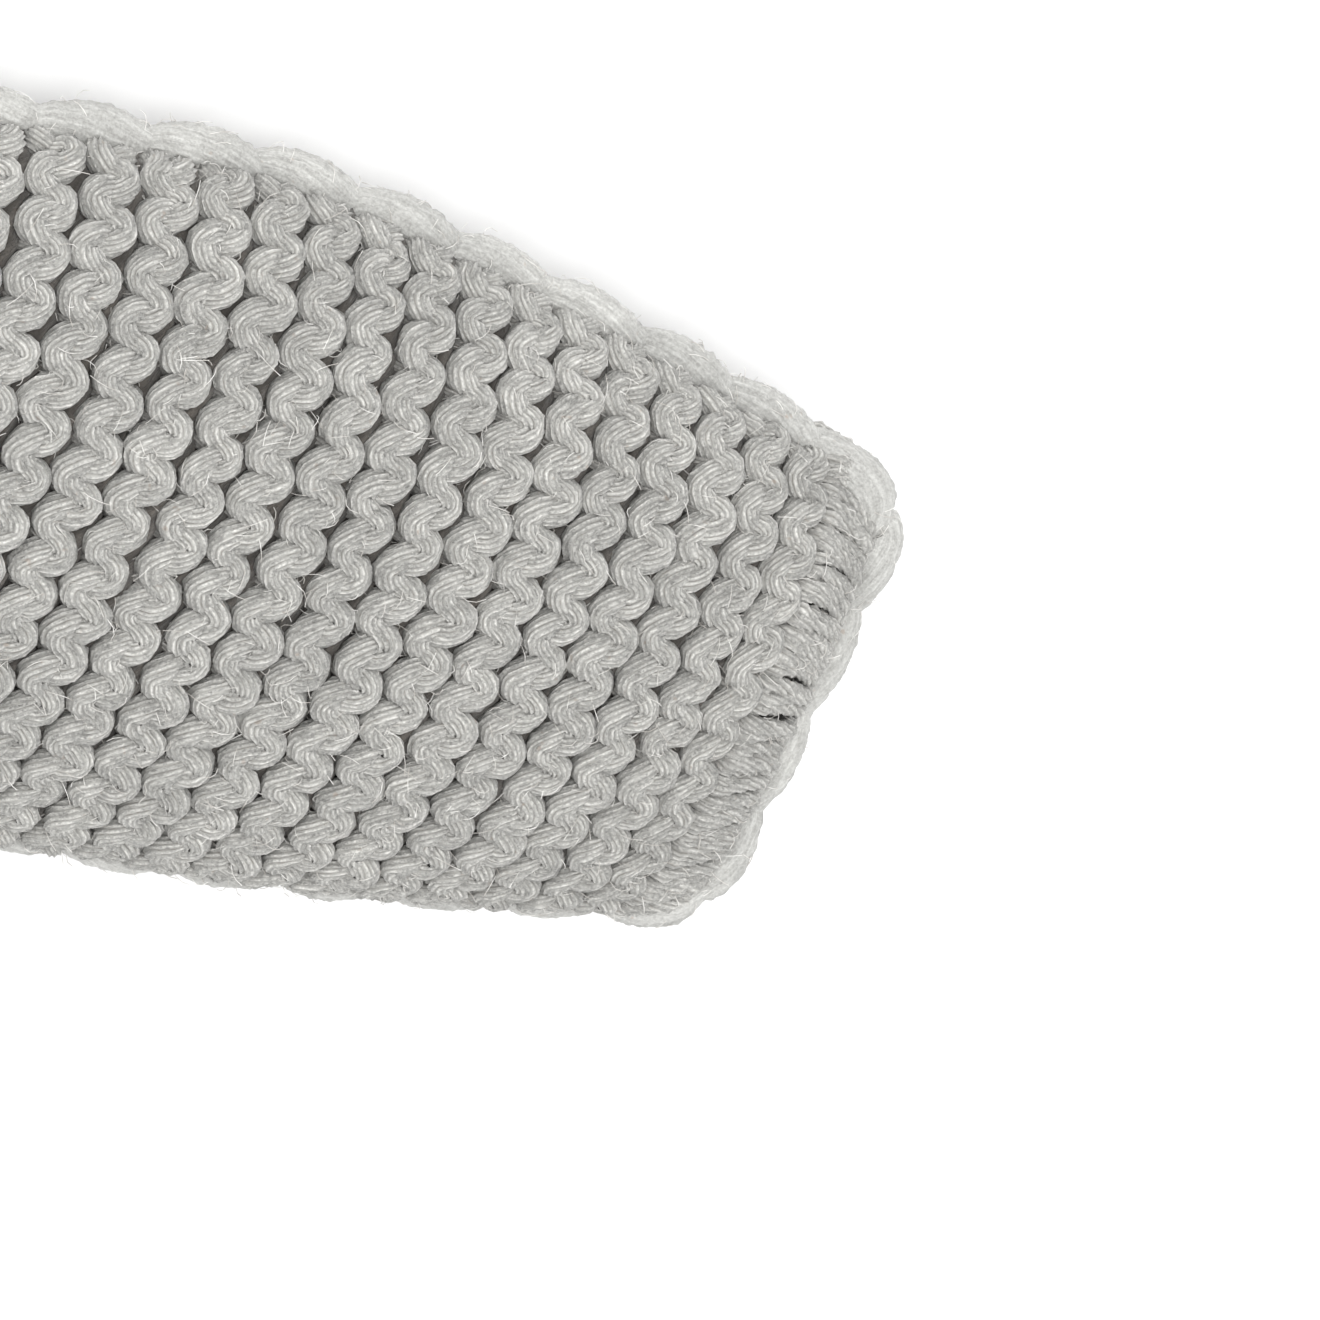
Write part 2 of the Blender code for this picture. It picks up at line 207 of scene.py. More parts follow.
def strand_fibre_group() -> bpy.types.NodeTree:
    """Build the group that streaks a yarn with its fibres.

    Returns:
        A group whose Around and Along inputs are the yarn's own coordinates, along in metres.
    """
    name = "strand_fibres"
    if name in bpy.data.node_groups:
        return bpy.data.node_groups[name]
    scalar = "NodeSocketFloat"
    board = make_group(
        name,
        {
            "Around": (scalar, 0.0),
            "Along": (scalar, 0.0),
            "Fibres Around": (scalar, 34.0),
            "Fibres Along": (scalar, 190.0),
        },
        {"Fine": scalar, "Coarse": scalar},
    )
    given = board.add("NodeGroupInput").outputs
    result = board.add("NodeGroupOutput").inputs
    turn = board.math("MULTIPLY", given["Around"], 2 * math.pi)
    ring = board.math("MULTIPLY", given["Fibres Around"], 1 / (2 * math.pi))
    across = board.math("MULTIPLY", board.math("COSINE", turn), ring)
    over = board.math("MULTIPLY", board.math("SINE", turn), ring)
    along = board.math("MULTIPLY", given["Along"], given["Fibres Along"])
    place = board.add("ShaderNodeCombineXYZ")
    board.link(across, place.inputs[0])
    board.link(over, place.inputs[1])
    board.link(along, place.inputs[2])
    board.link(board.noise(place.outputs[0], 1.0, 5.0, 0.7), result["Fine"])
    wide = board.add("ShaderNodeVectorMath", operation="SCALE")
    board.link(place.outputs[0], wide.inputs[0])
    wide.inputs["Scale"].default_value = 0.4
    board.link(board.noise(wide.outputs[0], 1.0, 2.0, 0.5), result["Coarse"])
    return board.tree


def weave_group() -> bpy.types.NodeTree:
    """Build the group that gives a plain weave's height and thread mask from Object coordinates."""
    name = "plain_weave"
    if name in bpy.data.node_groups:
        return bpy.data.node_groups[name]
    scalar = "NodeSocketFloat"
    board = make_group(
        name,
        {"Vector": ("NodeSocketVector", None), "Threads": (scalar, 1500.0)},
        {"Height": scalar, "Slub": scalar},
    )
    given = board.add("NodeGroupInput").outputs
    result = board.add("NodeGroupOutput").inputs
    axes = board.add("ShaderNodeSeparateXYZ")
    board.link(given["Vector"], axes.inputs[0])
    waves = []
    for index in range(3):
        scaled = board.math("MULTIPLY", axes.outputs[index], given["Threads"])
        waves.append(board.math("SINE", scaled))
    product = board.math("MULTIPLY", waves[0], board.math("ADD", waves[1], waves[2]))
    board.link(board.math("MULTIPLY_ADD", product, 0.25), result["Height"])
    board.link(board.noise(given["Vector"], 90.0, 3.0), result["Slub"])
    return board.tree


# ---------------------------------------------------------------------------------------------
# Piece helpers
# ---------------------------------------------------------------------------------------------


def mesh_from_curve(curve: bpy.types.Curve) -> bpy.types.Mesh:
    """Return the mesh that a curve makes, and remove the curve."""
    holder = bpy.data.objects.new(curve.name + "_curve", curve)
    bpy.context.scene.collection.objects.link(holder)
    graph = bpy.context.evaluated_depsgraph_get()
    mesh = bpy.data.meshes.new_from_object(holder.evaluated_get(graph))
    bpy.data.objects.remove(holder, do_unlink=True)
    bpy.data.curves.remove(curve)
    return mesh


def place_piece(name: str, mesh: bpy.types.Mesh, material: bpy.types.Material) -> bpy.types.Object:
    """Return a new smooth piece in the scene, made of this mesh and material."""
    mesh.materials.clear()
    mesh.materials.append(material)
    mesh.shade_smooth()
    piece = bpy.data.objects.new(name, mesh)
    bpy.context.scene.collection.objects.link(piece)
    return piece


def join_frame(piece: bpy.types.Object, slot: str, *nodes: str) -> None:
    """Let a piece ride on the cover and hide the frame nodes that it replaces."""
    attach(piece, COVER)
    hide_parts(*nodes)


# ---------------------------------------------------------------------------------------------
# Finishes
# ---------------------------------------------------------------------------------------------

Colour = tuple[float, float, float]


def opaque(colour: Colour) -> tuple[float, float, float, float]:
    """Return the colour with a full alpha."""
    return (*colour, 1.0)


def new_material(name: str) -> tuple[bpy.types.Material, NodeBoard, bpy.types.Node]:
    """Return a new material, a board on its nodes, and its Principled shader."""
    material = bpy.data.materials.new(name)
    material.use_nodes = True
    board = NodeBoard(material.node_tree)
    return material, board, material.node_tree.nodes["Principled BSDF"]


@dataclass(frozen=True)
class YarnFinish:
    """A soft heathered yarn, streaked along its own length."""

    name: str
    light: Colour = (0.85, 0.84, 0.80)
    dark: Colour = (0.17, 0.167, 0.157)
    fleck: Colour = (0.40, 0.32, 0.26)
    # The hollow colour is painted shade, multiplied in where the depth attribute says the yarn lies deep in
    # the knit.
    hollow: Colour = (0.20, 0.18, 0.165)
    # crease is how strongly the grooves between the strands are painted darker: painted shade.
    crease: float = 1.15
    bump: float = 0.75
    fibres_around: float = 38.0
    fibres_along: float = 270.0

    def build(self) -> bpy.types.Material:
        """Return the yarn's material, which reads its UV map, its depth attribute for painted shade in the
        knit's hollows, and its groove attribute for painted shade between the strands.
        """
        material, board, shader = new_material(self.name)
        uv = board.add("ShaderNodeUVMap", uv_map="strand")
        parts = board.add("ShaderNodeSeparateXYZ")
        board.link(uv.outputs[0], parts.inputs[0])
        fibres = board.add("ShaderNodeGroup", node_tree=strand_fibre_group())
        board.link(parts.outputs[0], fibres.inputs["Around"])
        board.link(parts.outputs[1], fibres.inputs["Along"])
        fibres.inputs["Fibres Around"].default_value = self.fibres_around
        fibres.inputs["Fibres Along"].default_value = self.fibres_along
        place = board.add("ShaderNodeTexCoord").outputs["Object"]
        heather = board.spread(fibres.outputs["Coarse"], 0.40, 0.60)
        fine = board.spread(fibres.outputs["Fine"], 0.37, 0.62)
        speck = board.spread(board.noise(place, 760.0, 3.0, 0.7), 0.42, 0.58)
        shade = board.math("ADD", board.math("MULTIPLY", heather, 0.3), board.math("MULTIPLY", fine, 0.3))
        shade = board.math("ADD", shade, board.math("MULTIPLY", speck, 0.4))
        colour = board.mix("MIX", shade, opaque(self.dark), opaque(self.light))
        drift = board.spread(board.noise(place, 26.0, 2.0), 0.3, 0.7, 0.88, 1.06)
        grey = board.add("ShaderNodeCombineColor")
        for index in range(3):
            board.link(drift, grey.inputs[index])
        colour = board.mix("MULTIPLY", 1.0, colour, grey.outputs[0])
        rare = board.spread(board.noise(place, 210.0, 1.0), 0.73, 0.8)
        colour = board.mix("MIX", board.math("MULTIPLY", rare, 0.55), colour, opaque(self.fleck))
        depth = board.add("ShaderNodeAttribute", attribute_name="depth").outputs["Fac"]
        # Painted shade in the grooves between strands: the groove attribute, broken up by noise, multiplies
        # in a dark grey.
        groove = board.add("ShaderNodeAttribute", attribute_name="groove").outputs["Fac"]
        broken = board.math("MULTIPLY", board.math("ADD", heather, speck), 0.5 * self.crease)
        crease = board.math("MULTIPLY", board.math("POWER", groove, 1.4), broken)
        colour = board.mix("MULTIPLY", crease, colour, opaque((0.30, 0.29, 0.275)))
        # Painted shade in the knit's hollows: the depth attribute multiplies the colour towards the hollow
        # colour.
        colour = board.mix("MULTIPLY", depth, colour, opaque(self.hollow))
        board.link(colour, shader.inputs["Base Color"])
        height = board.math("ADD", board.math("MULTIPLY", fine, 0.6), board.math("MULTIPLY", heather, 0.5))
        bump = board.add("ShaderNodeBump")
        bump.inputs["Strength"].default_value = self.bump
        bump.inputs["Distance"].default_value = 0.0009
        board.link(height, bump.inputs["Height"])
        board.link(bump.outputs[0], shader.inputs["Normal"])
        rough = board.spread(fine, 0.0, 1.0, 0.86, 0.98)
        board.link(rough, shader.inputs["Roughness"])
        shader.inputs["Sheen Weight"].default_value = 0.35
        shader.inputs["Sheen Roughness"].default_value = 0.6
        shader.inputs["Sheen Tint"].default_value = opaque((0.95, 0.95, 0.93))
        shader.inputs["Specular IOR Level"].default_value = 0.15
        return material


@dataclass(frozen=True)
class ClothFinish:
    """A plain woven cloth."""

    name: str
    colour: Colour
    threads: float = 1500.0
    roughness: float = 0.9

    def build(self) -> bpy.types.Material:
        """Return the cloth's material."""
        material, board, shader = new_material(self.name)
        place = board.add("ShaderNodeTexCoord").outputs["Object"]
        weave = board.add("ShaderNodeGroup", node_tree=weave_group())
        board.link(place, weave.inputs["Vector"])
        weave.inputs["Threads"].default_value = self.threads
        darker = tuple(0.72 * value for value in self.colour)
        share = board.spread(weave.outputs["Slub"], 0.3, 0.7, 0.2, 1.0)
        board.link(board.mix("MIX", share, opaque(darker), opaque(self.colour)), shader.inputs["Base Color"])
        bump = board.add("ShaderNodeBump")
        bump.inputs["Strength"].default_value = 0.5
        bump.inputs["Distance"].default_value = 0.0003
        board.link(weave.outputs["Height"], bump.inputs["Height"])
        board.link(bump.outputs[0], shader.inputs["Normal"])
        low, high = self.roughness - 0.06, self.roughness + 0.06
        board.link(board.spread(weave.outputs["Slub"], 0.3, 0.7, low, high), shader.inputs["Roughness"])
        shader.inputs["Sheen Weight"].default_value = 0.2
        shader.inputs["Specular IOR Level"].default_value = 0.2
        return material


@dataclass(frozen=True)
class HardFinish:
    """A moulded or cast surface with fine scuffs."""

    name: str
    colour: Colour
    roughness: float
    metallic: float

    def build(self) -> bpy.types.Material:
        """Return the hard surface's material."""
        material, board, shader = new_material(self.name)
        place = board.add("ShaderNodeTexCoord").outputs["Object"]
        scuff = board.noise(place, 900.0, 4.0, 0.7)
        worn = tuple(0.8 * value for value in self.colour)
        share = board.spread(scuff, 0.3, 0.7)
        board.link(board.mix("MIX", share, opaque(worn), opaque(self.colour)), shader.inputs["Base Color"])
        low, high = self.roughness - 0.08, self.roughness + 0.14
        board.link(board.spread(scuff, 0.3, 0.7, low, high), shader.inputs["Roughness"])
        bump = board.add("ShaderNodeBump")
        bump.inputs["Strength"].default_value = 0.15
        bump.inputs["Distance"].default_value = 0.0001
        board.link(scuff, bump.inputs["Height"])
        board.link(bump.outputs[0], shader.inputs["Normal"])
        shader.inputs["Metallic"].default_value = self.metallic
        return material


def yarn_hair() -> bpy.types.Material:
    """Return the finish of the loose hairs: the yarn's own colours, from light to fawn."""
    material, board, shader = new_material("yarn_hair")
    place = board.add("ShaderNodeTexCoord").outputs["Object"]
    share = board.spread(board.noise(place, 160.0, 1.0), 0.35, 0.65)
    colour = board.mix("MIX", share, opaque((0.50, 0.475, 0.44)), opaque((0.88, 0.87, 0.84)))
    board.link(colour, shader.inputs["Base Color"])
    board.link(board.spread(share, 0.0, 1.0, 0.75, 0.9), shader.inputs["Roughness"])
    shader.inputs["Specular IOR Level"].default_value = 0.2
    return material


# ---------------------------------------------------------------------------------------------
# The pillow's form, as a surface that the yarns follow
# ---------------------------------------------------------------------------------------------


def smooth_step(value: np.ndarray) -> np.ndarray:
    """Return a smooth rise from 0 to 1 as the value goes from 0 to 1."""
    held = np.clip(value, 0.0, 1.0)
    return held * held * (3 - 2 * held)


@dataclass
class CushionForm:
    """One face of the pillow, or of a layer inside it, mapped by distances over its surface."""

    side: Side
    front_node: str = "front_knit_panel"
    back_node: str = "back_knit_panel"
    end_share: float = 0.662
    taper_power: float = 1.5
    crown_length: float = 5.0
    crown_width: float = 2.3
    corner_radius: float = 0.030
    steps: int = 181
    places: np.ndarray = field(init=False)
    normals: np.ndarray = field(init=False)

    def __post_init__(self) -> None:
        """Read the sizes from the frame and tabulate the surface."""
        knit_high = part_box("front_knit_panel")[1]
        low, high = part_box(self.front_node)
        back_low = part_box(self.back_node)[0]
        self.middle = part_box("front_knit_panel")[0].z
        self.half_length = high.x
        self.half_width = high.y
        self.half_end = self.end_share * knit_high.y - (knit_high.y - high.y)
        self.full_height = high.z - self.middle
        self.rest = self.middle - back_low.z
        angles = np.linspace(-math.pi / 2, math.pi / 2, self.steps)
        along, across = np.meshgrid(np.sin(angles), np.sin(angles), indexing="ij")
        self.places = self.tabulate(along, across)
        self.normals = self.tabulate_normals()
        self.measure(angles)

    def tabulate(self, along: np.ndarray, across: np.ndarray) -> np.ndarray:
        """Return the surface's points for shares of the half length and half width."""
        cut = (1 - math.sqrt(0.5)) * self.corner_radius * np.abs(along) ** 22 * np.abs(across) ** 10
        width = self.half_width - (self.half_width - self.half_end) * np.abs(along) ** self.taper_power
        rise = np.sqrt(np.clip(1 - np.abs(along) ** self.crown_length, 0, None))
        rise = rise * np.sqrt(np.clip(1 - np.abs(across) ** self.crown_width, 0, None))
        height = self.full_height * rise
        if self.side is Side.BACK:
            soft = 0.006
            over = np.clip((height - (self.rest - soft)) / (2 * soft), 0, None)
            height = np.where(over > 0, self.rest - soft + soft * np.tanh(over * 2), height)
        x = along * (self.half_length - cut)
        y = across * (width - cut)
        return np.stack([x, y, self.middle + self.side.value * height], axis=-1)

    def tabulate_normals(self) -> np.ndarray:
        """Return the outward normals at the tabulated points."""
        by_length = np.gradient(self.places, axis=0)
        by_width = np.gradient(self.places, axis=1)
        normals = np.cross(by_length, by_width) * self.side.value
        normals /= np.linalg.norm(normals, axis=-1, keepdims=True) + 1e-12
        radial = self.places - np.array([0, 0, self.middle])
        radial /= np.array([self.half_length, self.half_width, self.full_height])
        normals += 0.02 * radial
        return normals / np.linalg.norm(normals, axis=-1, keepdims=True)

    def measure(self, angles: np.ndarray) -> None:
        """Tabulate the distances over the surface, so that stitches keep their size."""
        self.angles = angles
        centre = self.steps // 2
        steps = np.linalg.norm(np.diff(self.places[:, centre], axis=0), axis=-1)
        run = np.concatenate([[0], np.cumsum(steps)])
        self.along_run = run - run[centre]
        steps = np.linalg.norm(np.diff(self.places, axis=1), axis=-1)
        run = np.concatenate([np.zeros((self.steps, 1)), np.cumsum(steps, axis=1)], axis=1)
        run = run - run[:, centre : centre + 1]
        self.reach_table = np.maximum(run[:, -1], 1e-6)
        shares = np.linspace(-1, 1, self.steps)
        rows = [np.interp(shares, run[i] / self.reach_table[i], angles) for i in range(self.steps)]
        self.turn_table = np.array(rows)

    @property
    def length_reach(self) -> float:
        """The distance over the surface from the middle to an end."""
        return float(self.along_run[-1])

    def distance_at(self, x: float) -> float:
        """The distance over the surface, along the middle line, of a place at length x."""
        return float(np.interp(x, self.places[:, self.steps // 2, 0], self.along_run))

    def outline(self) -> np.ndarray:
        """The pillow's plan outline: a closed ring of points that starts in the middle of the -X end."""
        half = self.steps // 2
        sides = [
            self.places[0, half:-1],
            self.places[:-1, -1],
            self.places[-1, :0:-1],
            self.places[:0:-1, 0],
            self.places[0, :half],
        ]
        return np.concatenate(sides)

    def width_reach(self, u: np.ndarray | float) -> np.ndarray:
        """The distance over the surface from the middle line to a long side, at distance u."""
        angle = np.interp(u, self.along_run, self.angles)
        return np.interp(angle, self.angles, self.reach_table)

    def sample(self, table: np.ndarray, row: np.ndarray, column: np.ndarray) -> np.ndarray:
        """Return values of a table between its rows and columns."""
        row = np.clip(row, 0, self.steps - 1.001)
        column = np.clip(column, 0, self.steps - 1.001)
        i, j = row.astype(int), column.astype(int)
        fi, fj = row - i, column - j
        if table.ndim == 3:
            fi, fj = fi[:, None], fj[:, None]
        near = table[i, j] * (1 - fj) + table[i, j + 1] * fj
        far = table[i + 1, j] * (1 - fj) + table[i + 1, j + 1] * fj
        return near * (1 - fi) + far * fi

    def lay(self, u: np.ndarray, v: np.ndarray, lift: np.ndarray) -> np.ndarray:
        """Lay points on the surface.

        Args:
            u: Distances along the pillow, over the surface, from the middle.
            v: Distances across it. Past a long side they go round to the other face.
            lift: Heights above the surface.

        Returns:
            The points' places.
        """
        cells = self.steps - 1
        angle = np.interp(u, self.along_run, self.angles)
        row = (angle / math.pi + 0.5) * cells
        share = v / np.interp(angle, self.angles, self.reach_table)
        past = np.abs(share) > 1
        share = np.where(past, np.sign(share) * (2 - np.abs(share)), share)
        turn = self.sample(self.turn_table, row, (share + 1) / 2 * cells)
        column = (turn / math.pi + 0.5) * cells
        place = self.sample(self.places, row, column)
        normal = self.sample(self.normals, row, column)
        mirrored = place.copy()
        mirrored[:, 2] = 2 * self.middle - mirrored[:, 2]
        place = np.where(past[:, None], mirrored, place)
        flip = np.where(past, -1.0, 1.0)
        normal = normal * np.stack([np.ones_like(flip), np.ones_like(flip), flip], axis=-1)
        return place + normal * lift[:, None]


# ---------------------------------------------------------------------------------------------
# Yarn tubes
# ---------------------------------------------------------------------------------------------


@dataclass
class YarnRun:
    """One length of yarn: its points, radii and how deep each point lies in the knit."""

    points: np.ndarray
    radii: np.ndarray
    depth: np.ndarray

    def thinned(self, least: float = 0.0003) -> "YarnRun":
        """Return the run without the points that nearly repeat the one before."""
        steps = np.linalg.norm(np.diff(self.points, axis=0), axis=1)
        kept = np.concatenate([[True], steps > least])
        return YarnRun(self.points[kept], self.radii[kept], self.depth[kept])


@dataclass
class YarnSection:
    """The yarn's section: a ring of soft strands with hollows between them."""

    strands: int = 15
    hollow: float = 0.19
    uneven: float = 0.06
    seed: int = 5

    def build(self, name: str) -> bpy.types.Object:
        """Return a closed flat curve of unit radius with two points for each strand.

        Args:
            name: The curve's name.

        Returns:
            The curve object, which stands outside the scene.
        """
        random = np.random.default_rng(self.seed)
        curve = bpy.data.curves.new(name, "CURVE")
        curve.dimensions = "2D"
        spline = curve.splines.new("POLY")
        spline.points.add(2 * self.strands - 1)
        spline.use_cyclic_u = True
        for index in range(2 * self.strands):
            is_hollow = index % 2 == 1
            turn = -math.pi * (index + random.uniform(-0.3, 0.3)) / self.strands
            if is_hollow:
                radius = 1 - self.hollow * random.uniform(0.5, 1.4)
            else:
                radius = 1 + random.uniform(-self.uneven, self.uneven)
            spline.points[index].co = (radius * math.cos(turn), radius * math.sin(turn), 0, 1)
        return bpy.data.objects.new(name, curve)


@dataclass
class YarnMaker:
    """Turns runs of yarn into one mesh piece."""

    section: YarnSection
    twist_length: float = 0.075
    lump: float = 0.00032
    lump_waves: tuple[float, ...] = (0.010, 0.0075, 0.0055, 0.0045, 0.0036, 0.0030, 0.0026)
    seed: int = 11

    def build(self, name: str, runs: list[YarnRun], material: bpy.types.Material) -> bpy.types.Object:
        """Make a mesh piece of these runs.

        Args:
            name: The piece's name.
            runs: The lengths of yarn.
            material: The yarn's material.

        Returns:
            The mesh object, with a strand UV map and a depth attribute.
        """
        random = np.random.default_rng(self.seed)
        runs = [run.thinned() for run in runs]
        curve = bpy.data.curves.new(name, "CURVE")
        curve.dimensions = "3D"
        curve.bevel_mode = "OBJECT"
        section = self.section.build(name + "_section")
        curve.bevel_object = section
        curve.use_fill_caps = True
        curve.twist_mode = "MINIMUM"
        lengths = []
        for run in runs:
            count = len(run.points)
            steps = np.linalg.norm(np.diff(run.points, axis=0), axis=1)
            distance = np.concatenate([[0], np.cumsum(steps)])
            lengths.append(distance[-1])
            spline = curve.splines.new("POLY")
            spline.points.add(count - 1)
            flat = np.concatenate([run.points, np.ones((count, 1))], axis=1)
            spline.points.foreach_set("co", flat.ravel())
            tilt = distance * 2 * math.pi / self.twist_length + random.uniform(0, 2 * math.pi)
            spline.points.foreach_set("tilt", tilt)
            spline.points.foreach_set("radius", run.radii)
        mesh = mesh_from_curve(curve)
        bpy.data.objects.remove(section, do_unlink=True)
        self.mark(mesh, runs, lengths)
        self.close_caps(mesh)
        self.roughen(mesh)
        return place_piece(name, mesh, material)

    def mark(self, mesh: bpy.types.Mesh, runs: list[YarnRun], lengths: list[float]) -> None:
        """Write the strand UV map, in metres along the yarn, and the depth and groove attributes that steer
        the painted shade.
        """
        random = np.random.default_rng(self.seed + 1)
        depth = self.spread_values([run.depth for run in runs])
        scale = self.spread_values([np.full(len(run.points), length) for run, length in zip(runs, lengths)])
        shift = self.spread_values([np.full(len(run.points), random.uniform(0, 40)) for run in runs])
        if len(depth) != len(mesh.vertices):
            raise ValueError("the yarn's mesh has another number of points than its runs")
        attribute = mesh.attributes.new("depth", "FLOAT", "POINT")
        attribute.data.foreach_set("value", depth.astype(np.float32))
        # groove is 0 on a strand's crest and 1 in the hollow beside it; the material paints shade by it.
        groove = np.tile([0.0, 1.0], len(mesh.vertices) // 2)
        attribute = mesh.attributes.new("groove", "FLOAT", "POINT")
        attribute.data.foreach_set("value", groove.astype(np.float32))
        layer = mesh.uv_layers[0]
        layer.name = "strand"
        uv = np.empty(2 * len(mesh.loops), np.float32)
        layer.data.foreach_get("uv", uv)
        uv = uv.reshape(-1, 2)
        corner = np.empty(len(mesh.loops), np.int32)
        mesh.loops.foreach_get("vertex_index", corner)
        along = uv[:, 0] * scale[corner] + shift[corner]
        layer.data.foreach_set("uv", np.stack([uv[:, 1], along], axis=1).ravel())

    def spread_values(self, values: list[np.ndarray]) -> np.ndarray:
        """Spread each run's values over its mesh points: all end caps from last to first, then the tubes."""
        ring = 2 * self.section.strands
        caps = [np.repeat(value[[-1, 0]], ring) for value in reversed(values)]
        tubes = [np.repeat(value, ring) for value in values]
        return np.concatenate(caps + tubes)

    def roughen(self, mesh: bpy.types.Mesh) -> None:
        """Push the yarn's surface in and out in small lumps, as spun wool has."""
        random = np.random.default_rng(self.seed + 2)
        count = len(mesh.vertices)
        place = np.empty(3 * count, np.float32)
        normal = np.empty(3 * count, np.float32)
        mesh.vertices.foreach_get("co", place)
        mesh.vertices.foreach_get("normal", normal)
        place, normal = place.reshape(-1, 3), normal.reshape(-1, 3)
        lump = np.zeros(count, np.float32)
        for wave in self.lump_waves:
            direction = random.normal(0, 1, 3)
            direction *= 2 * math.pi / wave / np.linalg.norm(direction)
            bend = 0.9 * np.sin(place @ (0.6 * direction[[1, 2, 0]]).astype(np.float32))
            lump += np.sin(place @ direction.astype(np.float32) + bend + random.uniform(0, 6.28))
        place = place + normal * (self.lump * lump / 1.9)[:, None]
        mesh.vertices.foreach_set("co", place.ravel())
        mesh.update()

    def close_caps(self, mesh: bpy.types.Mesh) -> None:
        """Weld each run's end caps to its tube, point by point in the mesh's own order."""
        shape = bmesh.new()
        shape.from_mesh(mesh)
        edge_points = [vert for vert in shape.verts if vert.is_boundary]
        bmesh.ops.remove_doubles(shape, verts=edge_points, dist=0.00001)
        shape.to_mesh(mesh)
        shape.free()


# ---------------------------------------------------------------------------------------------
# The knit
# ---------------------------------------------------------------------------------------------


@dataclass
class Gauge:
    """The sizes of the knit: its yarn, its stitches and its ridges, in metres."""

    stitch: float = 0.0210
    ridge: float = 0.0242
    yarn: float = 0.0057
    proud: float = 0.0015
    lock: float = 0.0020
    drift: float = -0.0035
    edge_band: float = 0.014
    roll_cover: float = 0.007
    end_margin: float = 0.056
    steps: int = 22

    def loop(self) -> tuple[np.ndarray, np.ndarray, np.ndarray, np.ndarray]:
        """The path of one loop, from a head to the next head.

        Returns:
            Offsets along the pillow, across it and outwards, and the yarn's share of its radius,
            at evenly spread steps. The head comes first and points to -X.
        """
        half = self.stitch / 2
        along = np.array([-6.7, -4.7, -0.4, 5.0, 10.0]) / 1000
        across = np.array([0.0, 3.9, 6.1, 7.2, 10.2]) / 10.2 * half
        lift = np.array([-0.2, 0.0, -2.2, -8.0, -14.0]) / 1000
        width = np.array([1.05, 1.04, 0.94, 0.80, 0.72])
        along = np.concatenate([along, along[-2:0:-1]])
        across = np.concatenate([across, self.stitch - across[-2:0:-1]])
        lift = np.concatenate([lift, lift[-2:0:-1]])
        width = np.concatenate([width, width[-2:0:-1]])
        count = len(along)
        spots = np.arange(self.steps) * count / self.steps
        results = []
        for values, jump in ((along, 0.0), (across, self.stitch), (lift, 0.0), (width, 0.0)):
            results.append(self.spline(values, spots, jump))
        return tuple(results)

    @staticmethod
    def spline(values: np.ndarray, spots: np.ndarray, jump: float) -> np.ndarray:
        """Return smooth values between repeating ones.

        Args:
            values: One period's values.
            spots: Where to read, in steps of the values.
            jump: How much the values grow from one period to the next.

        Returns:
            The values read from a Catmull-Rom spline.
        """
        count = len(values)
        base = np.floor(spots).astype(int)
        share = spots - base

        def at(offset: int) -> np.ndarray:
            index = base + offset
            return values[index % count] + jump * (index // count)

        a, b, c, d = at(-1), at(0), at(1), at(2)
        cubic = -a + 3 * b - 3 * c + d
        square = 2 * a - 5 * b + 4 * c - d
        return 0.5 * (2 * b + (c - a) * share + square * share**2 + cubic * share**3)


@dataclass
class RidgePlan:
    """Where the ridges lie, so that whole ridges fill the face between the wrapped ends."""

    form: CushionForm
    gauge: Gauge

    def __post_init__(self) -> None:
        """Fit the ridges between the ends."""
        self.last = self.form.distance_at(self.form.half_length - self.gauge.end_margin)
        self.gaps = round(2 * self.last / self.gauge.ridge)
        self.spacing = 2 * self.last / self.gaps

    def places(self) -> list[float]:
        """The ridges' distances from the middle."""
        return [self.last - index * self.spacing for index in range(self.gaps + 1)]

    def valleys(self) -> list[float]:
        """The distances of the valleys between the ridges, and of more under each wrapped end."""
        return [self.last - (index + 0.5) * self.spacing for index in range(-3, self.gaps + 1)]

    def stitch_start(self, u: float) -> float:
        """How far the stitches of the ridge at distance u are shifted along it."""
        return self.gauge.drift * u / self.spacing


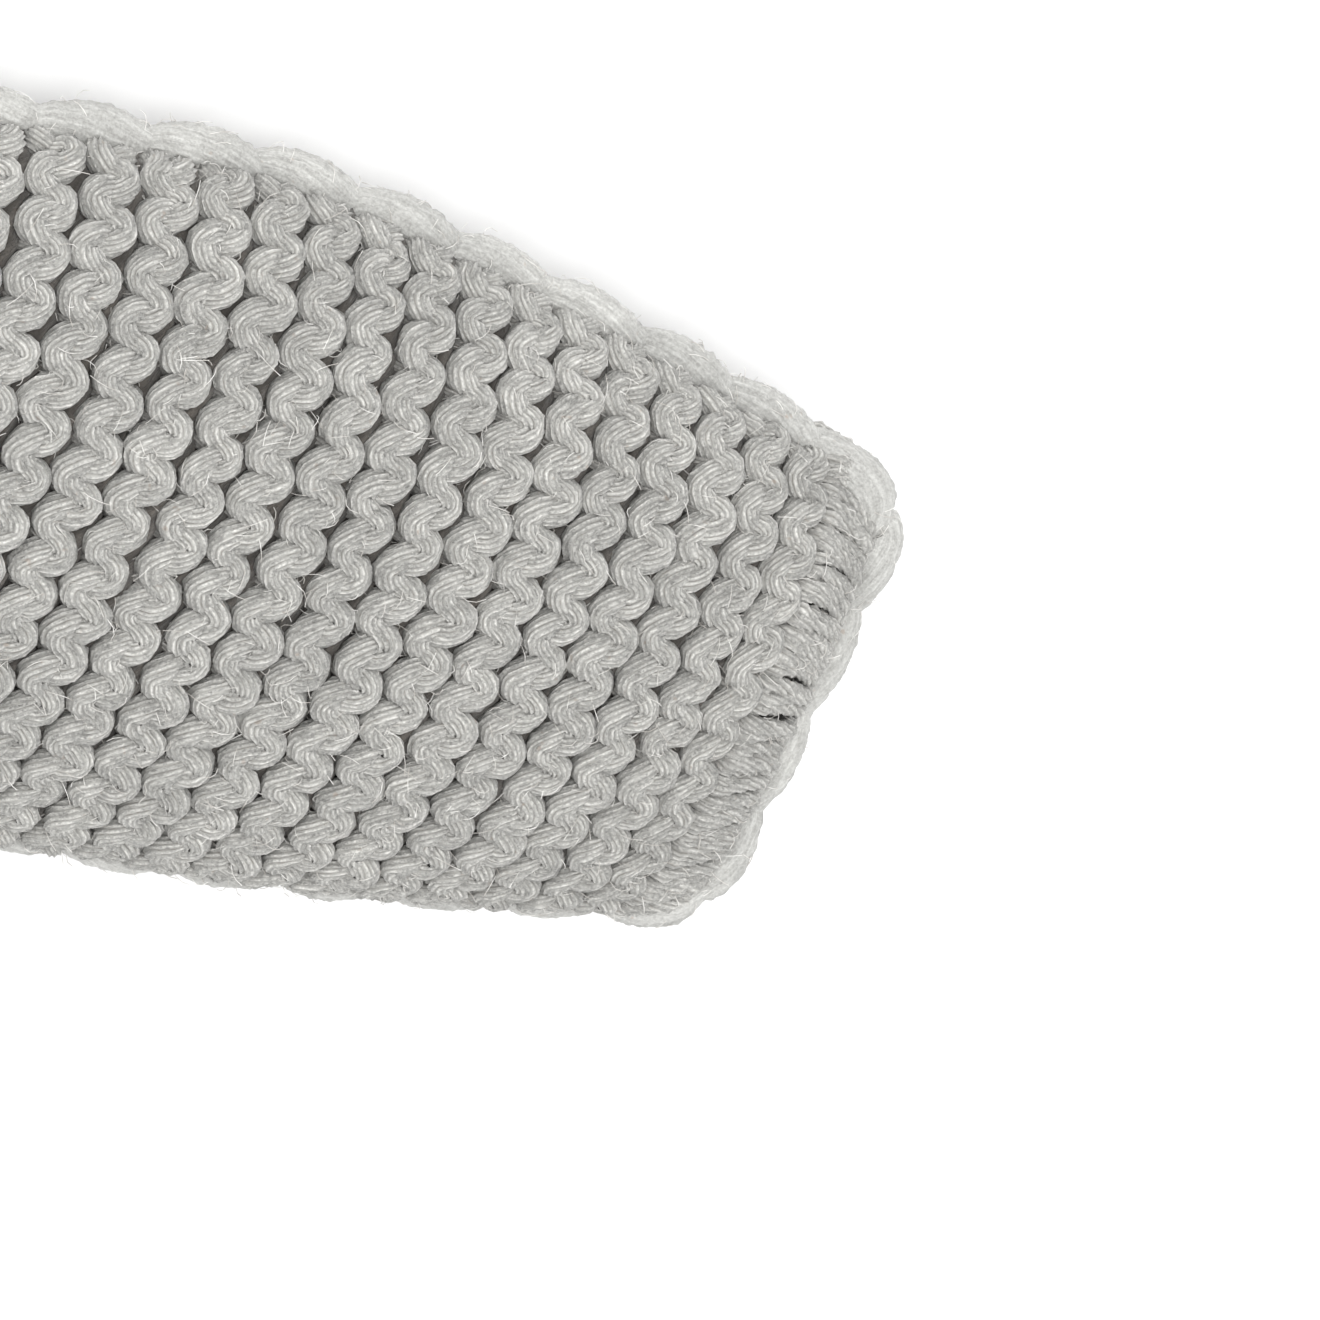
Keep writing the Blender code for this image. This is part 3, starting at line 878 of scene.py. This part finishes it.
@dataclass
class KnitPanel:
    """One face of the cover: ridges of locked loops from side to side, over a dense inner layer."""

    side: Side
    gauge: Gauge
    form: CushionForm
    material: bpy.types.Material
    strands: int = 15
    skew: float = 0.36
    skew_centre: float = 0.004
    uneven_along: float = 0.0006
    uneven_across: float = 0.0007
    uneven_lift: float = 0.0008
    uneven_radius: float = 0.05
    calm_along: float = 0.0061
    edge_start: float = 0.008
    tuck_depth: float = 0.013
    tuck_band: float = 0.016
    valley_core: tuple[float, float] = (-0.0135, 0.0070)
    ridge_core: tuple[float, float] = (-0.0165, 0.0062)
    core_step: float = 0.008
    core_wave: float = 0.0012
    seed: int = 21
    triangle_limit: int = 185_000

    def row(self, u: float, shift: float, arc: Arc, random: np.random.Generator) -> YarnRun:
        """Return one row of loops.

        Args:
            u: The ridge's distance from the middle.
            shift: How far its stitches are shifted along it.
            arc: Which way the loops' heads point.
            random: The source of the small unevenness of hand work.

        Returns:
            The row's yarn, laid over the pillow from side to side.
        """
        gauge = self.gauge
        reach = float(self.form.width_reach(u))
        loops = 2 * (int(reach / gauge.stitch) + 3)
        along, across, lift, width = gauge.loop()
        flip = arc.value
        index = np.repeat(np.arange(loops), gauge.steps)
        start = -loops / 2 * gauge.stitch + (0 if arc is Arc.LEFT else gauge.stitch / 2 - gauge.lock)
        start += math.remainder(shift, gauge.stitch)
        jitter = random.normal(0, 1, (loops + 1, 5))
        share = np.tile(np.arange(gauge.steps) / gauge.steps, loops)
        calm = (1 + np.cos(2 * math.pi * share)) / 2
        own = np.where(share < 0.5, 0, 1) + index
        a = np.tile(along, loops) + self.uneven_along * jitter[own, 0] * calm
        b = np.tile(across, loops) + index * gauge.stitch + self.uneven_across * jitter[own, 1] * calm
        z = np.tile(lift, loops) + self.uneven_lift * jitter[own, 2] * calm
        radius = np.tile(width, loops) * (1 + self.uneven_radius * jitter[own, 3] * calm) * gauge.yarn
        if arc is Arc.RIGHT:
            b = loops * gauge.stitch - b[::-1]
            a, z, radius = a[::-1], z[::-1], radius[::-1]
        a = a * flip
        b = start + b + self.skew * (a + flip * self.skew_centre)
        end = reach - gauge.roll_cover
        inside = np.abs(b) < end
        a, b, z, radius = a[inside], b[inside], z[inside], radius[inside]
        band = smooth_step((end - self.edge_start - np.abs(b)) / gauge.edge_band)
        calm_a = -flip * self.calm_along
        a = calm_a + (a - calm_a) * band
        tuck = smooth_step((np.abs(b) - end + self.tuck_band) / self.tuck_band)
        z = z * band - self.tuck_depth * tuck
        radius = radius * band + (1 - band) * gauge.yarn * 1.02
        points = self.form.lay(u + a, b, z + gauge.proud - gauge.yarn)
        # The depth also paints shade on the yarn where it dips into the knit.
        depth = np.clip((-z - 0.003) / 0.009, 0, 1)
        return YarnRun(points, radius, depth)

    def core_row(self, u: float, lift: float, radius: float) -> YarnRun:
        """Return one straight inner yarn, which fills the fabric under the loops."""
        reach = float(self.form.width_reach(u)) - self.gauge.roll_cover
        count = 2 * int(reach / self.core_step) + 1
        b = np.linspace(-reach, reach, count)
        a = self.core_wave * np.sin(b * 2 * math.pi / self.gauge.stitch)
        points = self.form.lay(u + a, b, np.full(count, lift))
        # A depth of 1 gives the inner yarn the full painted shade of the hollows.
        return YarnRun(points, np.full(count, radius), np.full(count, 1.0))

    def build(self, plan: RidgePlan) -> list[bpy.types.Object]:
        """Make the panel's yarns, in pieces that each stay under the triangle limit.

        Args:
            plan: Where the ridges lie.

        Returns:
            The mesh pieces.
        """
        random = np.random.default_rng(self.seed)
        runs = []
        for u in plan.places():
            shift = plan.stitch_start(u)
            runs.append(self.row(u, shift, Arc.LEFT, random))
            runs.append(self.row(u, shift, Arc.RIGHT, random))
        label = self.side.name.lower()
        maker = YarnMaker(YarnSection(strands=self.strands))
        pieces = []
        for index, group in enumerate(self.split(runs, 4 * self.strands)):
            pieces.append(maker.build(f"{label}_knit_rows_{index + 1}", group, self.material))
        core = [self.core_row(u, *self.valley_core) for u in plan.valleys()]
        core += [self.core_row(u, *self.ridge_core) for u in plan.places()]
        inner = YarnMaker(YarnSection(strands=5), seed=self.seed + 7)
        pieces.append(inner.build(f"{label}_knit_core", core, self.material))
        return pieces

    def split(self, runs: list[YarnRun], cost: int) -> list[list[YarnRun]]:
        """Split runs into groups whose meshes stay under the triangle limit."""
        groups: list[list[YarnRun]] = [[]]
        total = 0
        for run in runs:
            own = cost * len(run.points)
            if total + own > self.triangle_limit:
                groups.append([])
                total = 0
            groups[-1].append(run)
            total += own
        return groups


@dataclass
class ZipGap:
    """The free room round the zip in the -X end."""

    margin: float = 0.012
    slit_margin: float = 0.0025
    half_width: float = field(init=False)
    half_height: float = field(init=False)

    def __post_init__(self) -> None:
        """Read the room from the zip's own pieces, with the tab at both ends of its travel."""
        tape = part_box("zip_tape_front")
        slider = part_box("zip_slider")
        travel = slider[0].y + slider[1].y
        tab_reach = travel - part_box("zip_pull_tab")[0].y
        self.half_width = max(tape[1].y, tab_reach) + self.margin
        self.half_height = (slider[1].z - slider[0].z) / 2 + self.slit_margin


@dataclass
class RimRolls:
    """The thick edge stitches: fat soft rolls that lie round the seam from notch to notch."""

    form: CushionForm
    material: bpy.types.Material
    gap: ZipGap
    period: float = 0.047
    radius: float = 0.0106
    swell: float = 0.0058
    end_rise: float = 0.010
    near_rise: float = 0.005
    under_drop: float = 0.0065
    under_reach: float = 0.085
    end_band: float = 0.022
    dive: float = 0.007
    uneven: float = 0.0008
    lip_radius: float = 0.0052
    lip_stitch: float = 0.021
    strands: int = 21
    seed: int = 31

    def build(self) -> list[bpy.types.Object]:
        """Make the rolls of the two sides and the +X end, and the thinner pair beside the zip."""
        ring = self.form.outline()
        ring = np.concatenate([ring, ring[:1]])
        steps = np.linalg.norm(np.diff(ring, axis=0), axis=1)
        run = np.concatenate([[0], np.cumsum(steps)])
        start, end = self.gap.half_width, run[-1] - self.gap.half_width
        count = round((end - start) / self.period)
        period = (end - start) / count
        random = np.random.default_rng(self.seed)
        rolls: dict[str, list[YarnRun]] = {"far_side": [], "near_side": [], "end": []}
        for index in range(count):
            middle = start + (index + 0.5) * period
            roll = self.roll(ring, run, middle, period, random)
            place = roll.points[len(roll.points) // 2]
            if place[0] > self.form.half_length - self.under_reach:
                rolls["end"].append(self.roll(ring, run, middle, period, random, under=True))
            if abs(place[0]) > self.form.half_length - self.end_band:
                rolls["end"].append(roll)
            elif place[1] > 0:
                rolls["far_side"].append(roll)
            else:
                rolls["near_side"].append(roll)
        rolls["end"] += [self.lip(side) for side in Side]
        section = YarnSection(strands=self.strands, hollow=0.035)
        maker = YarnMaker(section, twist_length=0.30, lump=0.00030, seed=self.seed)
        pieces = []
        for label, group in rolls.items():
            piece = maker.build(f"{label}_edge_rolls", group, self.material)
            join_frame(piece, "joining_yarn", f"{label}_joining_yarn")
            pieces.append(piece)
        return pieces

    def roll(
        self,
        ring: np.ndarray,
        run: np.ndarray,
        middle: float,
        period: float,
        random: np.random.Generator,
        under: bool = False,
    ) -> YarnRun:
        """Return one roll round the outline.

        Args:
            ring: The closed outline.
            run: The distance at each of its points.
            middle: The roll's middle, as a distance.
            period: The distance from notch to notch.
            random: The source of small unevenness.
            under: Whether this is the lower roll, which closes the seam below a raised one.

        Returns:
            The roll, whose ends dive inwards.
        """
        phase = np.linspace(-0.60, 0.60, 45)
        spot = middle + phase * period
        x = np.interp(spot, run, ring[:, 0])
        y = np.interp(spot, run, ring[:, 1])
        ahead_x = np.interp(spot + 0.004, run, ring[:, 0]) - np.interp(spot - 0.004, run, ring[:, 0])
        ahead_y = np.interp(spot + 0.004, run, ring[:, 1]) - np.interp(spot - 0.004, run, ring[:, 1])
        size = np.hypot(ahead_x, ahead_y)
        outward = np.stack([-ahead_y / size, ahead_x / size], axis=1)
        radius = self.radius * (1 + 0.04 * random.normal()) * (1 - 0.30 * (2 * phase) ** 2)
        out = self.swell * (1 - 4 * phase**2) - 0.0016
        dive = self.dive * smooth_step((np.abs(phase) - 0.44) / 0.16)
        inward = radius - out + dive
        at_end = smooth_step((x - self.form.half_length + 0.075) / 0.065)
        near = smooth_step((0.02 - y) / 0.04)
        off_zip = x > 0.03 - self.form.half_length
        raised = np.maximum(self.end_rise * at_end, self.near_rise * near * off_zip)
        if under:
            raised = np.full_like(x, -self.under_drop)
            radius = 0.92 * radius
            inward = inward + 0.0015
        z = self.form.middle + self.uneven * random.normal() + raised
        points = np.stack([x - outward[:, 0] * inward, y - outward[:, 1] * inward, z], axis=1)
        # The depth paints shade on the roll's ends where they dive inwards.
        return YarnRun(points, radius * (1 + 0.10 * at_end), np.clip(dive / 0.010, 0, 1))

    def lip(self, side: Side) -> YarnRun:
        """Return the slim roll above or below the zip."""
        half = self.gap.half_width + 0.004
        y = np.linspace(-half, half, 41)
        radius = self.lip_radius * (1 + 0.10 * np.abs(np.sin(y * math.pi / self.lip_stitch)))
        fade = smooth_step((half - np.abs(y)) / 0.014)
        z = self.form.middle + side.value * (self.gap.half_height + 0.0058) * (0.25 + 0.75 * fade)
        x = -self.form.half_length + 0.0075 + 0.004 * (1 - fade)
        return YarnRun(np.stack([x, y, z], axis=1), radius, np.zeros_like(y))


@dataclass
class EndWraps:
    """The strands that fan out from the last ridge over an end, four for each stitch."""

    form: CushionForm
    gauge: Gauge
    plan: RidgePlan
    gap: ZipGap
    material: bpy.types.Material
    fan: tuple[tuple[float, float], ...] = (
        (-0.0060, -0.0085),
        (-0.0020, -0.0060),
        (0.0030, -0.0030),
        (0.0080, 0.0000),
    )
    side_margin: float = 0.012
    root: float = 0.006
    stop: float = 0.026
    zip_end_stop: float = 0.019
    curl: float = 0.0040
    thickness: float = 0.68
    strands: int = 8
    seed: int = 41

    def build(self) -> bpy.types.Object:
        """Make the fans of both ends of this face."""
        random = np.random.default_rng(self.seed)
        runs = []
        for end in (1, -1):
            u = end * self.plan.last
            reach = float(self.form.width_reach(u)) - self.side_margin
            count = int(reach / self.gauge.stitch)
            shift = math.remainder(self.plan.stitch_start(u), self.gauge.stitch)
            for index in range(-count - 1, count + 2):
                base = index * self.gauge.stitch + shift
                for offset, lean in self.fan:
                    start = base + offset + 0.0010 * random.normal()
                    if abs(start) < reach:
                        runs.append(self.leg(end, start, lean, reach + self.side_margin, random))
        label = self.form.side.name.lower()
        section = YarnSection(strands=self.strands, hollow=0.26)
        maker = YarnMaker(section, twist_length=0.055, lump=0.0004, seed=self.seed)
        return maker.build(f"{label}_end_wraps", runs, self.material)

    def leg(
        self, end: int, start: float, lean: float, reach: float, random: np.random.Generator
    ) -> YarnRun:
        """Return one strand of a fan.

        Args:
            end: 1 for the +X end and -1 for the other.
            start: Where it leaves the last ridge.
            lean: How far it moves along the ridge on its way.
            reach: The ridge's own reach, for a fan that follows the narrowing end.
            random: The source of small unevenness.

        Returns:
            The strand's yarn.
        """
        share = np.linspace(0, 1, 29)
        first = self.plan.last + self.root
        last = self.form.length_reach - (self.stop if end > 0 else self.zip_end_stop)
        if end < 0 and abs(start) < self.gap.half_width + 0.006:
            stop = self.form.middle + self.form.side.value * (self.gap.half_height + 0.011)
            heights = self.form.places[: self.form.steps // 2, self.form.steps // 2, 2]
            distance = -self.form.along_run[: self.form.steps // 2]
            order = np.argsort(heights)
            last = float(np.interp(stop, heights[order], distance[order])) + 0.002
        u = end * (first + (last - first) * share)
        curl = self.curl * np.sin(math.pi * share) * (1 + 0.5 * random.normal())
        v = start + lean * share**1.3 + curl
        v = v * self.form.width_reach(u) / reach
        rise = smooth_step(share / 0.18)
        sink = smooth_step((share - 0.76) / 0.24)
        lift = -0.010 * (1 - rise) - 0.008 * sink + self.gauge.proud - 0.7 * self.gauge.yarn
        lift = lift + 0.0011 * random.normal() * np.sin(math.pi * share)
        radius = self.thickness * self.gauge.yarn * (1.0 + 0.10 * random.normal())
        radius = radius * (0.75 + 0.25 * rise - 0.2 * sink)
        # The depth paints shade on the strand's root, where it leaves the last ridge.
        depth = np.clip(1 - rise, 0, 1) * 0.9
        return YarnRun(self.form.lay(u, v, lift), radius, depth)


@dataclass
class InnerLayer:
    """A thin cloth shell inside the cover, in two halves, with soft creases."""

    front_node: str
    back_node: str
    material: bpy.types.Material
    slot: str
    thickness: float
    crease: float = 0.0008
    grid: int = 72
    seed: int = 3

    def build(self) -> list[bpy.types.Object]:
        """Make the shell's two halves."""
        pieces = []
        for side in Side:
            node = self.front_node if side is Side.FRONT else self.back_node
            form = CushionForm(side, self.front_node, self.back_node)
            piece = self.half(node + "_cloth", form)
            join_frame(piece, self.slot, node)
            pieces.append(piece)
        return pieces

    def half(self, name: str, form: CushionForm) -> bpy.types.Object:
        """Make one half as a solidified sheet.

        Args:
            name: The piece's name.
            form: The surface that it follows.

        Returns:
            The mesh object.
        """
        shape = bmesh.new()
        bmesh.ops.create_grid(shape, x_segments=self.grid, y_segments=self.grid, size=1.0)
        shape.verts.ensure_lookup_table()
        shares = np.array([vert.co[:2] for vert in shape.verts])
        turned = np.sin(np.clip(shares, -1, 1) * math.pi / 2)
        random = np.random.default_rng(self.seed)
        waves = np.zeros(len(turned))
        for _ in range(14):
            direction = random.normal(0, 1, 2)
            waves += np.sin(turned @ direction * random.uniform(4, 13) + random.uniform(0, 6.28))
        places = form.tabulate(turned[:, 0], turned[:, 1])
        pull = self.crease * waves / 3.7 - self.crease
        edge = (1 - np.abs(turned[:, 0]) ** 8) * (1 - np.abs(turned[:, 1]) ** 8)
        places[:, 2] += form.side.value * pull * edge
        for vert, place in zip(shape.verts, places):
            vert.co = place
        bmesh.ops.recalc_face_normals(shape, faces=shape.faces)
        mesh = bpy.data.meshes.new(name)
        shape.to_mesh(mesh)
        shape.free()
        middle = mesh.polygons[len(mesh.polygons) // 2]
        if middle.normal.z * form.side.value < 0:
            mesh.flip_normals()
        piece = place_piece(name, mesh, self.material)
        solid = piece.modifiers.new("thickness", "SOLIDIFY")
        solid.thickness = self.thickness
        solid.offset = -1.0
        return piece


@dataclass
class Insert:
    """The stuffing inside the casing, a closed crowned form."""

    material: bpy.types.Material

    def build(self) -> bpy.types.Object:
        """Make the stuffing, in one closed mesh."""
        low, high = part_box("insert_fill")
        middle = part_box("front_knit_panel")[0].z
        shape = bmesh.new()
        bmesh.ops.create_cube(shape, size=2.0)
        bmesh.ops.subdivide_edges(shape, edges=shape.edges, cuts=19, use_grid_fill=True)
        knit_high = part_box("front_knit_panel")[1]
        end_share = (0.662 * knit_high.y - (knit_high.y - high.y)) / high.y
        for vert in shape.verts:
            x, y, z = vert.co
            across = 1 - (1 - end_share) * abs(x) ** 1.5
            rise = math.sqrt(max(0.0, 1 - abs(x) ** 5)) * math.sqrt(max(0.0, 1 - abs(y) ** 2.3))
            top = middle + (high.z - middle) * (0.06 + 0.94 * rise)
            bottom = middle - (middle - low.z) * min(1.0, 0.06 + 1.1 * rise)
            lump = 0.0005 * math.sin(31 * x + 9 * y) * math.sin(23 * y - 7 * x) * rise
            height = bottom + (top - bottom) * (z + 1) / 2 + lump * abs(z)
            vert.co = (x * high.x * (1 - 0.03 * y * y), y * high.y * across, height)
        mesh = bpy.data.meshes.new("insert_stuffing")
        shape.to_mesh(mesh)
        shape.free()
        piece = place_piece("insert_stuffing", mesh, self.material)
        join_frame(piece, "insert_fill", "insert_fill")
        return piece


@dataclass
class Fuzz:
    """Loose fine hairs that stand off the yarns, most of them in the hollows between loops."""

    count: int = 5600
    thickness: float = 0.00014
    hollow_share: float = 0.6
    root: float = 0.0004
    floor_gap: float = 0.0004
    seed: int = 51

    def build(
        self, pieces: list[bpy.types.Object], name: str, material: bpy.types.Material
    ) -> bpy.types.Object:
        """Grow hairs on these pieces.

        Args:
            pieces: The yarn pieces.
            name: The name of the hairs' piece.
            material: The hairs' material.

        Returns:
            The mesh object.
        """
        random = np.random.default_rng(self.seed)
        places, normals, depths = [], [], []
        for piece in pieces:
            mesh = piece.data
            place = np.empty(3 * len(mesh.vertices), np.float32)
            normal = np.empty(3 * len(mesh.vertices), np.float32)
            depth = np.empty(len(mesh.vertices), np.float32)
            mesh.vertices.foreach_get("co", place)
            mesh.vertices.foreach_get("normal", normal)
            mesh.attributes["depth"].data.foreach_get("value", depth)
            places.append(place.reshape(-1, 3))
            normals.append(normal.reshape(-1, 3))
            depths.append(depth)
        places = np.concatenate(places)
        normals = np.concatenate(normals)
        depths = np.concatenate(depths)
        in_hollow = np.flatnonzero((depths > 0.15) & (depths < 0.9) & (normals[:, 2] > -0.2))
        on_top = np.flatnonzero(depths <= 0.15)
        hollow_count = int(self.count * self.hollow_share)
        picked = [random.choice(in_hollow, hollow_count), random.choice(on_top, self.count - hollow_count)]
        curve = bpy.data.curves.new(name, "CURVE")
        curve.dimensions = "3D"
        curve.bevel_depth = self.thickness
        curve.bevel_resolution = 0
        for index in np.concatenate(picked):
            place, normal = places[index], normals[index]
            side = random.normal(0, 1, 3)
            side -= normal * side.dot(normal)
            side /= np.linalg.norm(side) + 1e-9
            bend = random.normal(0, 1, 3)
            length = random.uniform(0.004, 0.012)
            lift = random.uniform(0.0004, 0.0024)
            spline = curve.splines.new("POLY")
            spline.points.add(3)
            for step in range(4):
                share = step / 3
                rise = lift * (4 * share * (1 - share) + share * 0.6)
                spot = place + side * length * (share - 0.3) + normal * rise
                spot = spot + bend * length * 0.12 * share * share - normal * self.root * (1 - share)
                spot[2] = max(float(spot[2]), self.floor_gap)
                spline.points[step].co = (*spot, 1)
        return place_piece(name, mesh_from_curve(curve), material)


@dataclass
class Cover:
    """The knitted cover: two panels, the fans at their ends, the rolls round the edge, and loose hairs."""

    gauge: Gauge = field(default_factory=Gauge)
    back_gauge: Gauge = field(default_factory=lambda: Gauge(steps=16, proud=-0.0042))
    front_strands: int = 15
    back_strands: int = 7
    hair_groups: int = 2

    def __post_init__(self) -> None:
        """Make the yarns' finishes."""
        finish = YarnFinish("knit_yarn_finish")
        # crease=0.25 keeps the painted shade in the rolls' grooves faint.
        edge = YarnFinish("edge_yarn_finish", (0.64, 0.64, 0.615), (0.30, 0.295, 0.28), crease=0.25)
        fan = replace(finish, name="wrap_yarn_finish", fibres_around=26.0, fibres_along=270.0)
        self.yarn = finish.build()
        self.edge_yarn = replace(edge, bump=0.45, fibres_around=80.0, fibres_along=150.0).build()
        self.fan_yarn = fan.build()
        self.hair = yarn_hair()

    def build(self) -> list[bpy.types.Object]:
        """Make the cover's pieces."""
        gap = ZipGap()
        pieces = []
        for side in Side:
            is_front = side is Side.FRONT
            form = CushionForm(side)
            plan = RidgePlan(form, self.gauge)
            gauge = self.gauge if is_front else self.back_gauge
            strands = self.front_strands if is_front else self.back_strands
            own = KnitPanel(side, gauge, form, self.yarn, strands=strands).build(plan)
            own.append(EndWraps(form, self.gauge, plan, gap, self.fan_yarn).build())
            if is_front:
                rolls = RimRolls(form, self.edge_yarn, gap).build()
                own.extend(self.hairs([*own, *rolls]))
                pieces.extend(rolls)
            for piece in own:
                join_frame(piece, "knit_yarn", f"{side.name.lower()}_knit_panel")
            pieces.extend(own)
        return pieces

    def hairs(self, yarns: list[bpy.types.Object]) -> list[bpy.types.Object]:
        """Make the loose hairs of these yarn pieces."""
        groups = range(1, self.hair_groups + 1)
        return [Fuzz(seed=50 + index).build(yarns, f"loose_hairs_{index}", self.hair) for index in groups]


@dataclass
class ZipDress:
    """The finishes of the zip, whose shapes are the frame's own."""

    def dress(self) -> None:
        """Give each zip node its finish."""
        tape = ClothFinish("zip_tape_weave", (0.42, 0.42, 0.41), threads=5200.0).build()
        teeth = HardFinish("zip_teeth_plastic", (0.38, 0.38, 0.375), 0.42, 0.0).build()
        metal = HardFinish("zip_metal", (0.62, 0.62, 0.63), 0.30, 1.0).build()
        finishes = {
            "zip_tape": tape,
            "zip_teeth": teeth,
            "zip_top_stop": metal,
            "zip_bottom_stop": metal,
            "zip_slider": metal,
            "zip_pull_tab": metal,
        }
        for node in bpy.data.objects:
            if "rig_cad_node" not in node:
                continue
            for start, material in finishes.items():
                if node.name.startswith(start):
                    node.data.materials.clear()
                    node.data.materials.append(material)


# ---------------------------------------------------------------------------------------------
# Stage
# ---------------------------------------------------------------------------------------------


@dataclass
class Studio:
    """The floor, the light and the camera."""

    aim: Vector = field(default_factory=lambda: Vector((0.2668, -0.0115, 0.0340)))
    right: Vector = field(default_factory=lambda: Vector((0.8521, 0.4174, 0.3157)))
    back: Vector = field(default_factory=lambda: Vector((-0.4581, 0.3033, 0.8356)))
    distance: float = 4.0
    frame_width: float = 0.5425
    floor_grey: float = 0.93
    world_strength: float = 1.05

    def build(self) -> None:
        """Make the stage."""
        self.build_floor()
        self.build_light()
        self.build_camera()

    def build_floor(self) -> None:
        """Lay a pale floor under the pillow."""
        shape = bmesh.new()
        bmesh.ops.create_grid(shape, x_segments=1, y_segments=1, size=6.0)
        mesh = bpy.data.meshes.new("floor")
        shape.to_mesh(mesh)
        shape.free()
        floor = bpy.data.objects.new("floor", mesh)
        bpy.context.scene.collection.objects.link(floor)
        material, _, shader = new_material("pale_floor")
        shader.inputs["Base Color"].default_value = opaque((self.floor_grey,) * 3)
        shader.inputs["Roughness"].default_value = 0.9
        shader.inputs["Specular IOR Level"].default_value = 0.0
        mesh.materials.append(material)

    def build_light(self) -> None:
        """Hang soft lights round the pillow."""
        world = bpy.data.worlds.new("studio")
        bpy.context.scene.world = world
        world.use_nodes = True
        background = world.node_tree.nodes["Background"]
        background.inputs["Color"].default_value = opaque((1.0, 1.0, 1.0))
        background.inputs["Strength"].default_value = self.world_strength
        self.area("key_light", Vector((-0.9, 1.0, 2.4)), 1.2, 46.0)
        self.area("fill_light", Vector((1.2, -0.8, 2.4)), 2.0, 14.0)

    def area(self, name: str, place: Vector, size: float, power: float) -> None:
        """Add a square light that faces the pillow."""
        data = bpy.data.lights.new(name, "AREA")
        data.size = size
        data.energy = power
        light = bpy.data.objects.new(name, data)
        light.location = place
        light.rotation_euler = (Vector((0.1, 0, 0.05)) - place).to_track_quat("-Z", "Y").to_euler()
        bpy.context.scene.collection.objects.link(light)

    def build_camera(self) -> None:
        """Place the camera on a long lens."""
        back = self.back.normalized()
        right = (self.right - back * self.right.dot(back)).normalized()
        up = back.cross(right)
        data = bpy.data.cameras.new("camera")
        data.sensor_width = 36.0
        data.lens = data.sensor_width * self.distance / self.frame_width
        data.clip_end = 50.0
        camera = bpy.data.objects.new("camera", data)
        turn = Matrix((right, up, back)).transposed().to_4x4()
        camera.matrix_world = Matrix.Translation(self.aim + back * self.distance) @ turn
        bpy.context.scene.collection.objects.link(camera)
        bpy.context.scene.camera = camera
        bpy.context.scene.view_settings.view_transform = "Standard"


def main() -> None:
    """Build the pillow piece by piece and report each one."""
    logging.basicConfig(level=logging.INFO, format="%(name)s: %(message)s")
    pieces = Cover().build()
    # The lining's dark grey is painted shade, seen through the gaps between the loops; its weave pattern is
    # its own.
    lining = ClothFinish("lining_weave", (0.30, 0.285, 0.265)).build()
    casing = ClothFinish("casing_weave", (0.78, 0.775, 0.75), threads=2400.0).build()
    filling = ClothFinish("stuffing_fibre", (0.86, 0.86, 0.85), threads=700.0).build()
    pieces += InnerLayer("lining_front", "lining_back", lining, "lining_cloth", 0.0012).build()
    pieces += InnerLayer("insert_casing_front", "insert_casing_back", casing, "insert_cloth", 0.0008).build()
    pieces.append(Insert(filling).build())
    ZipDress().dress()
    Studio().build()
    for piece in pieces:
        LOG.info("%s: %d faces", piece.name, len(piece.data.polygons))


if __name__ == "__main__":
    main()
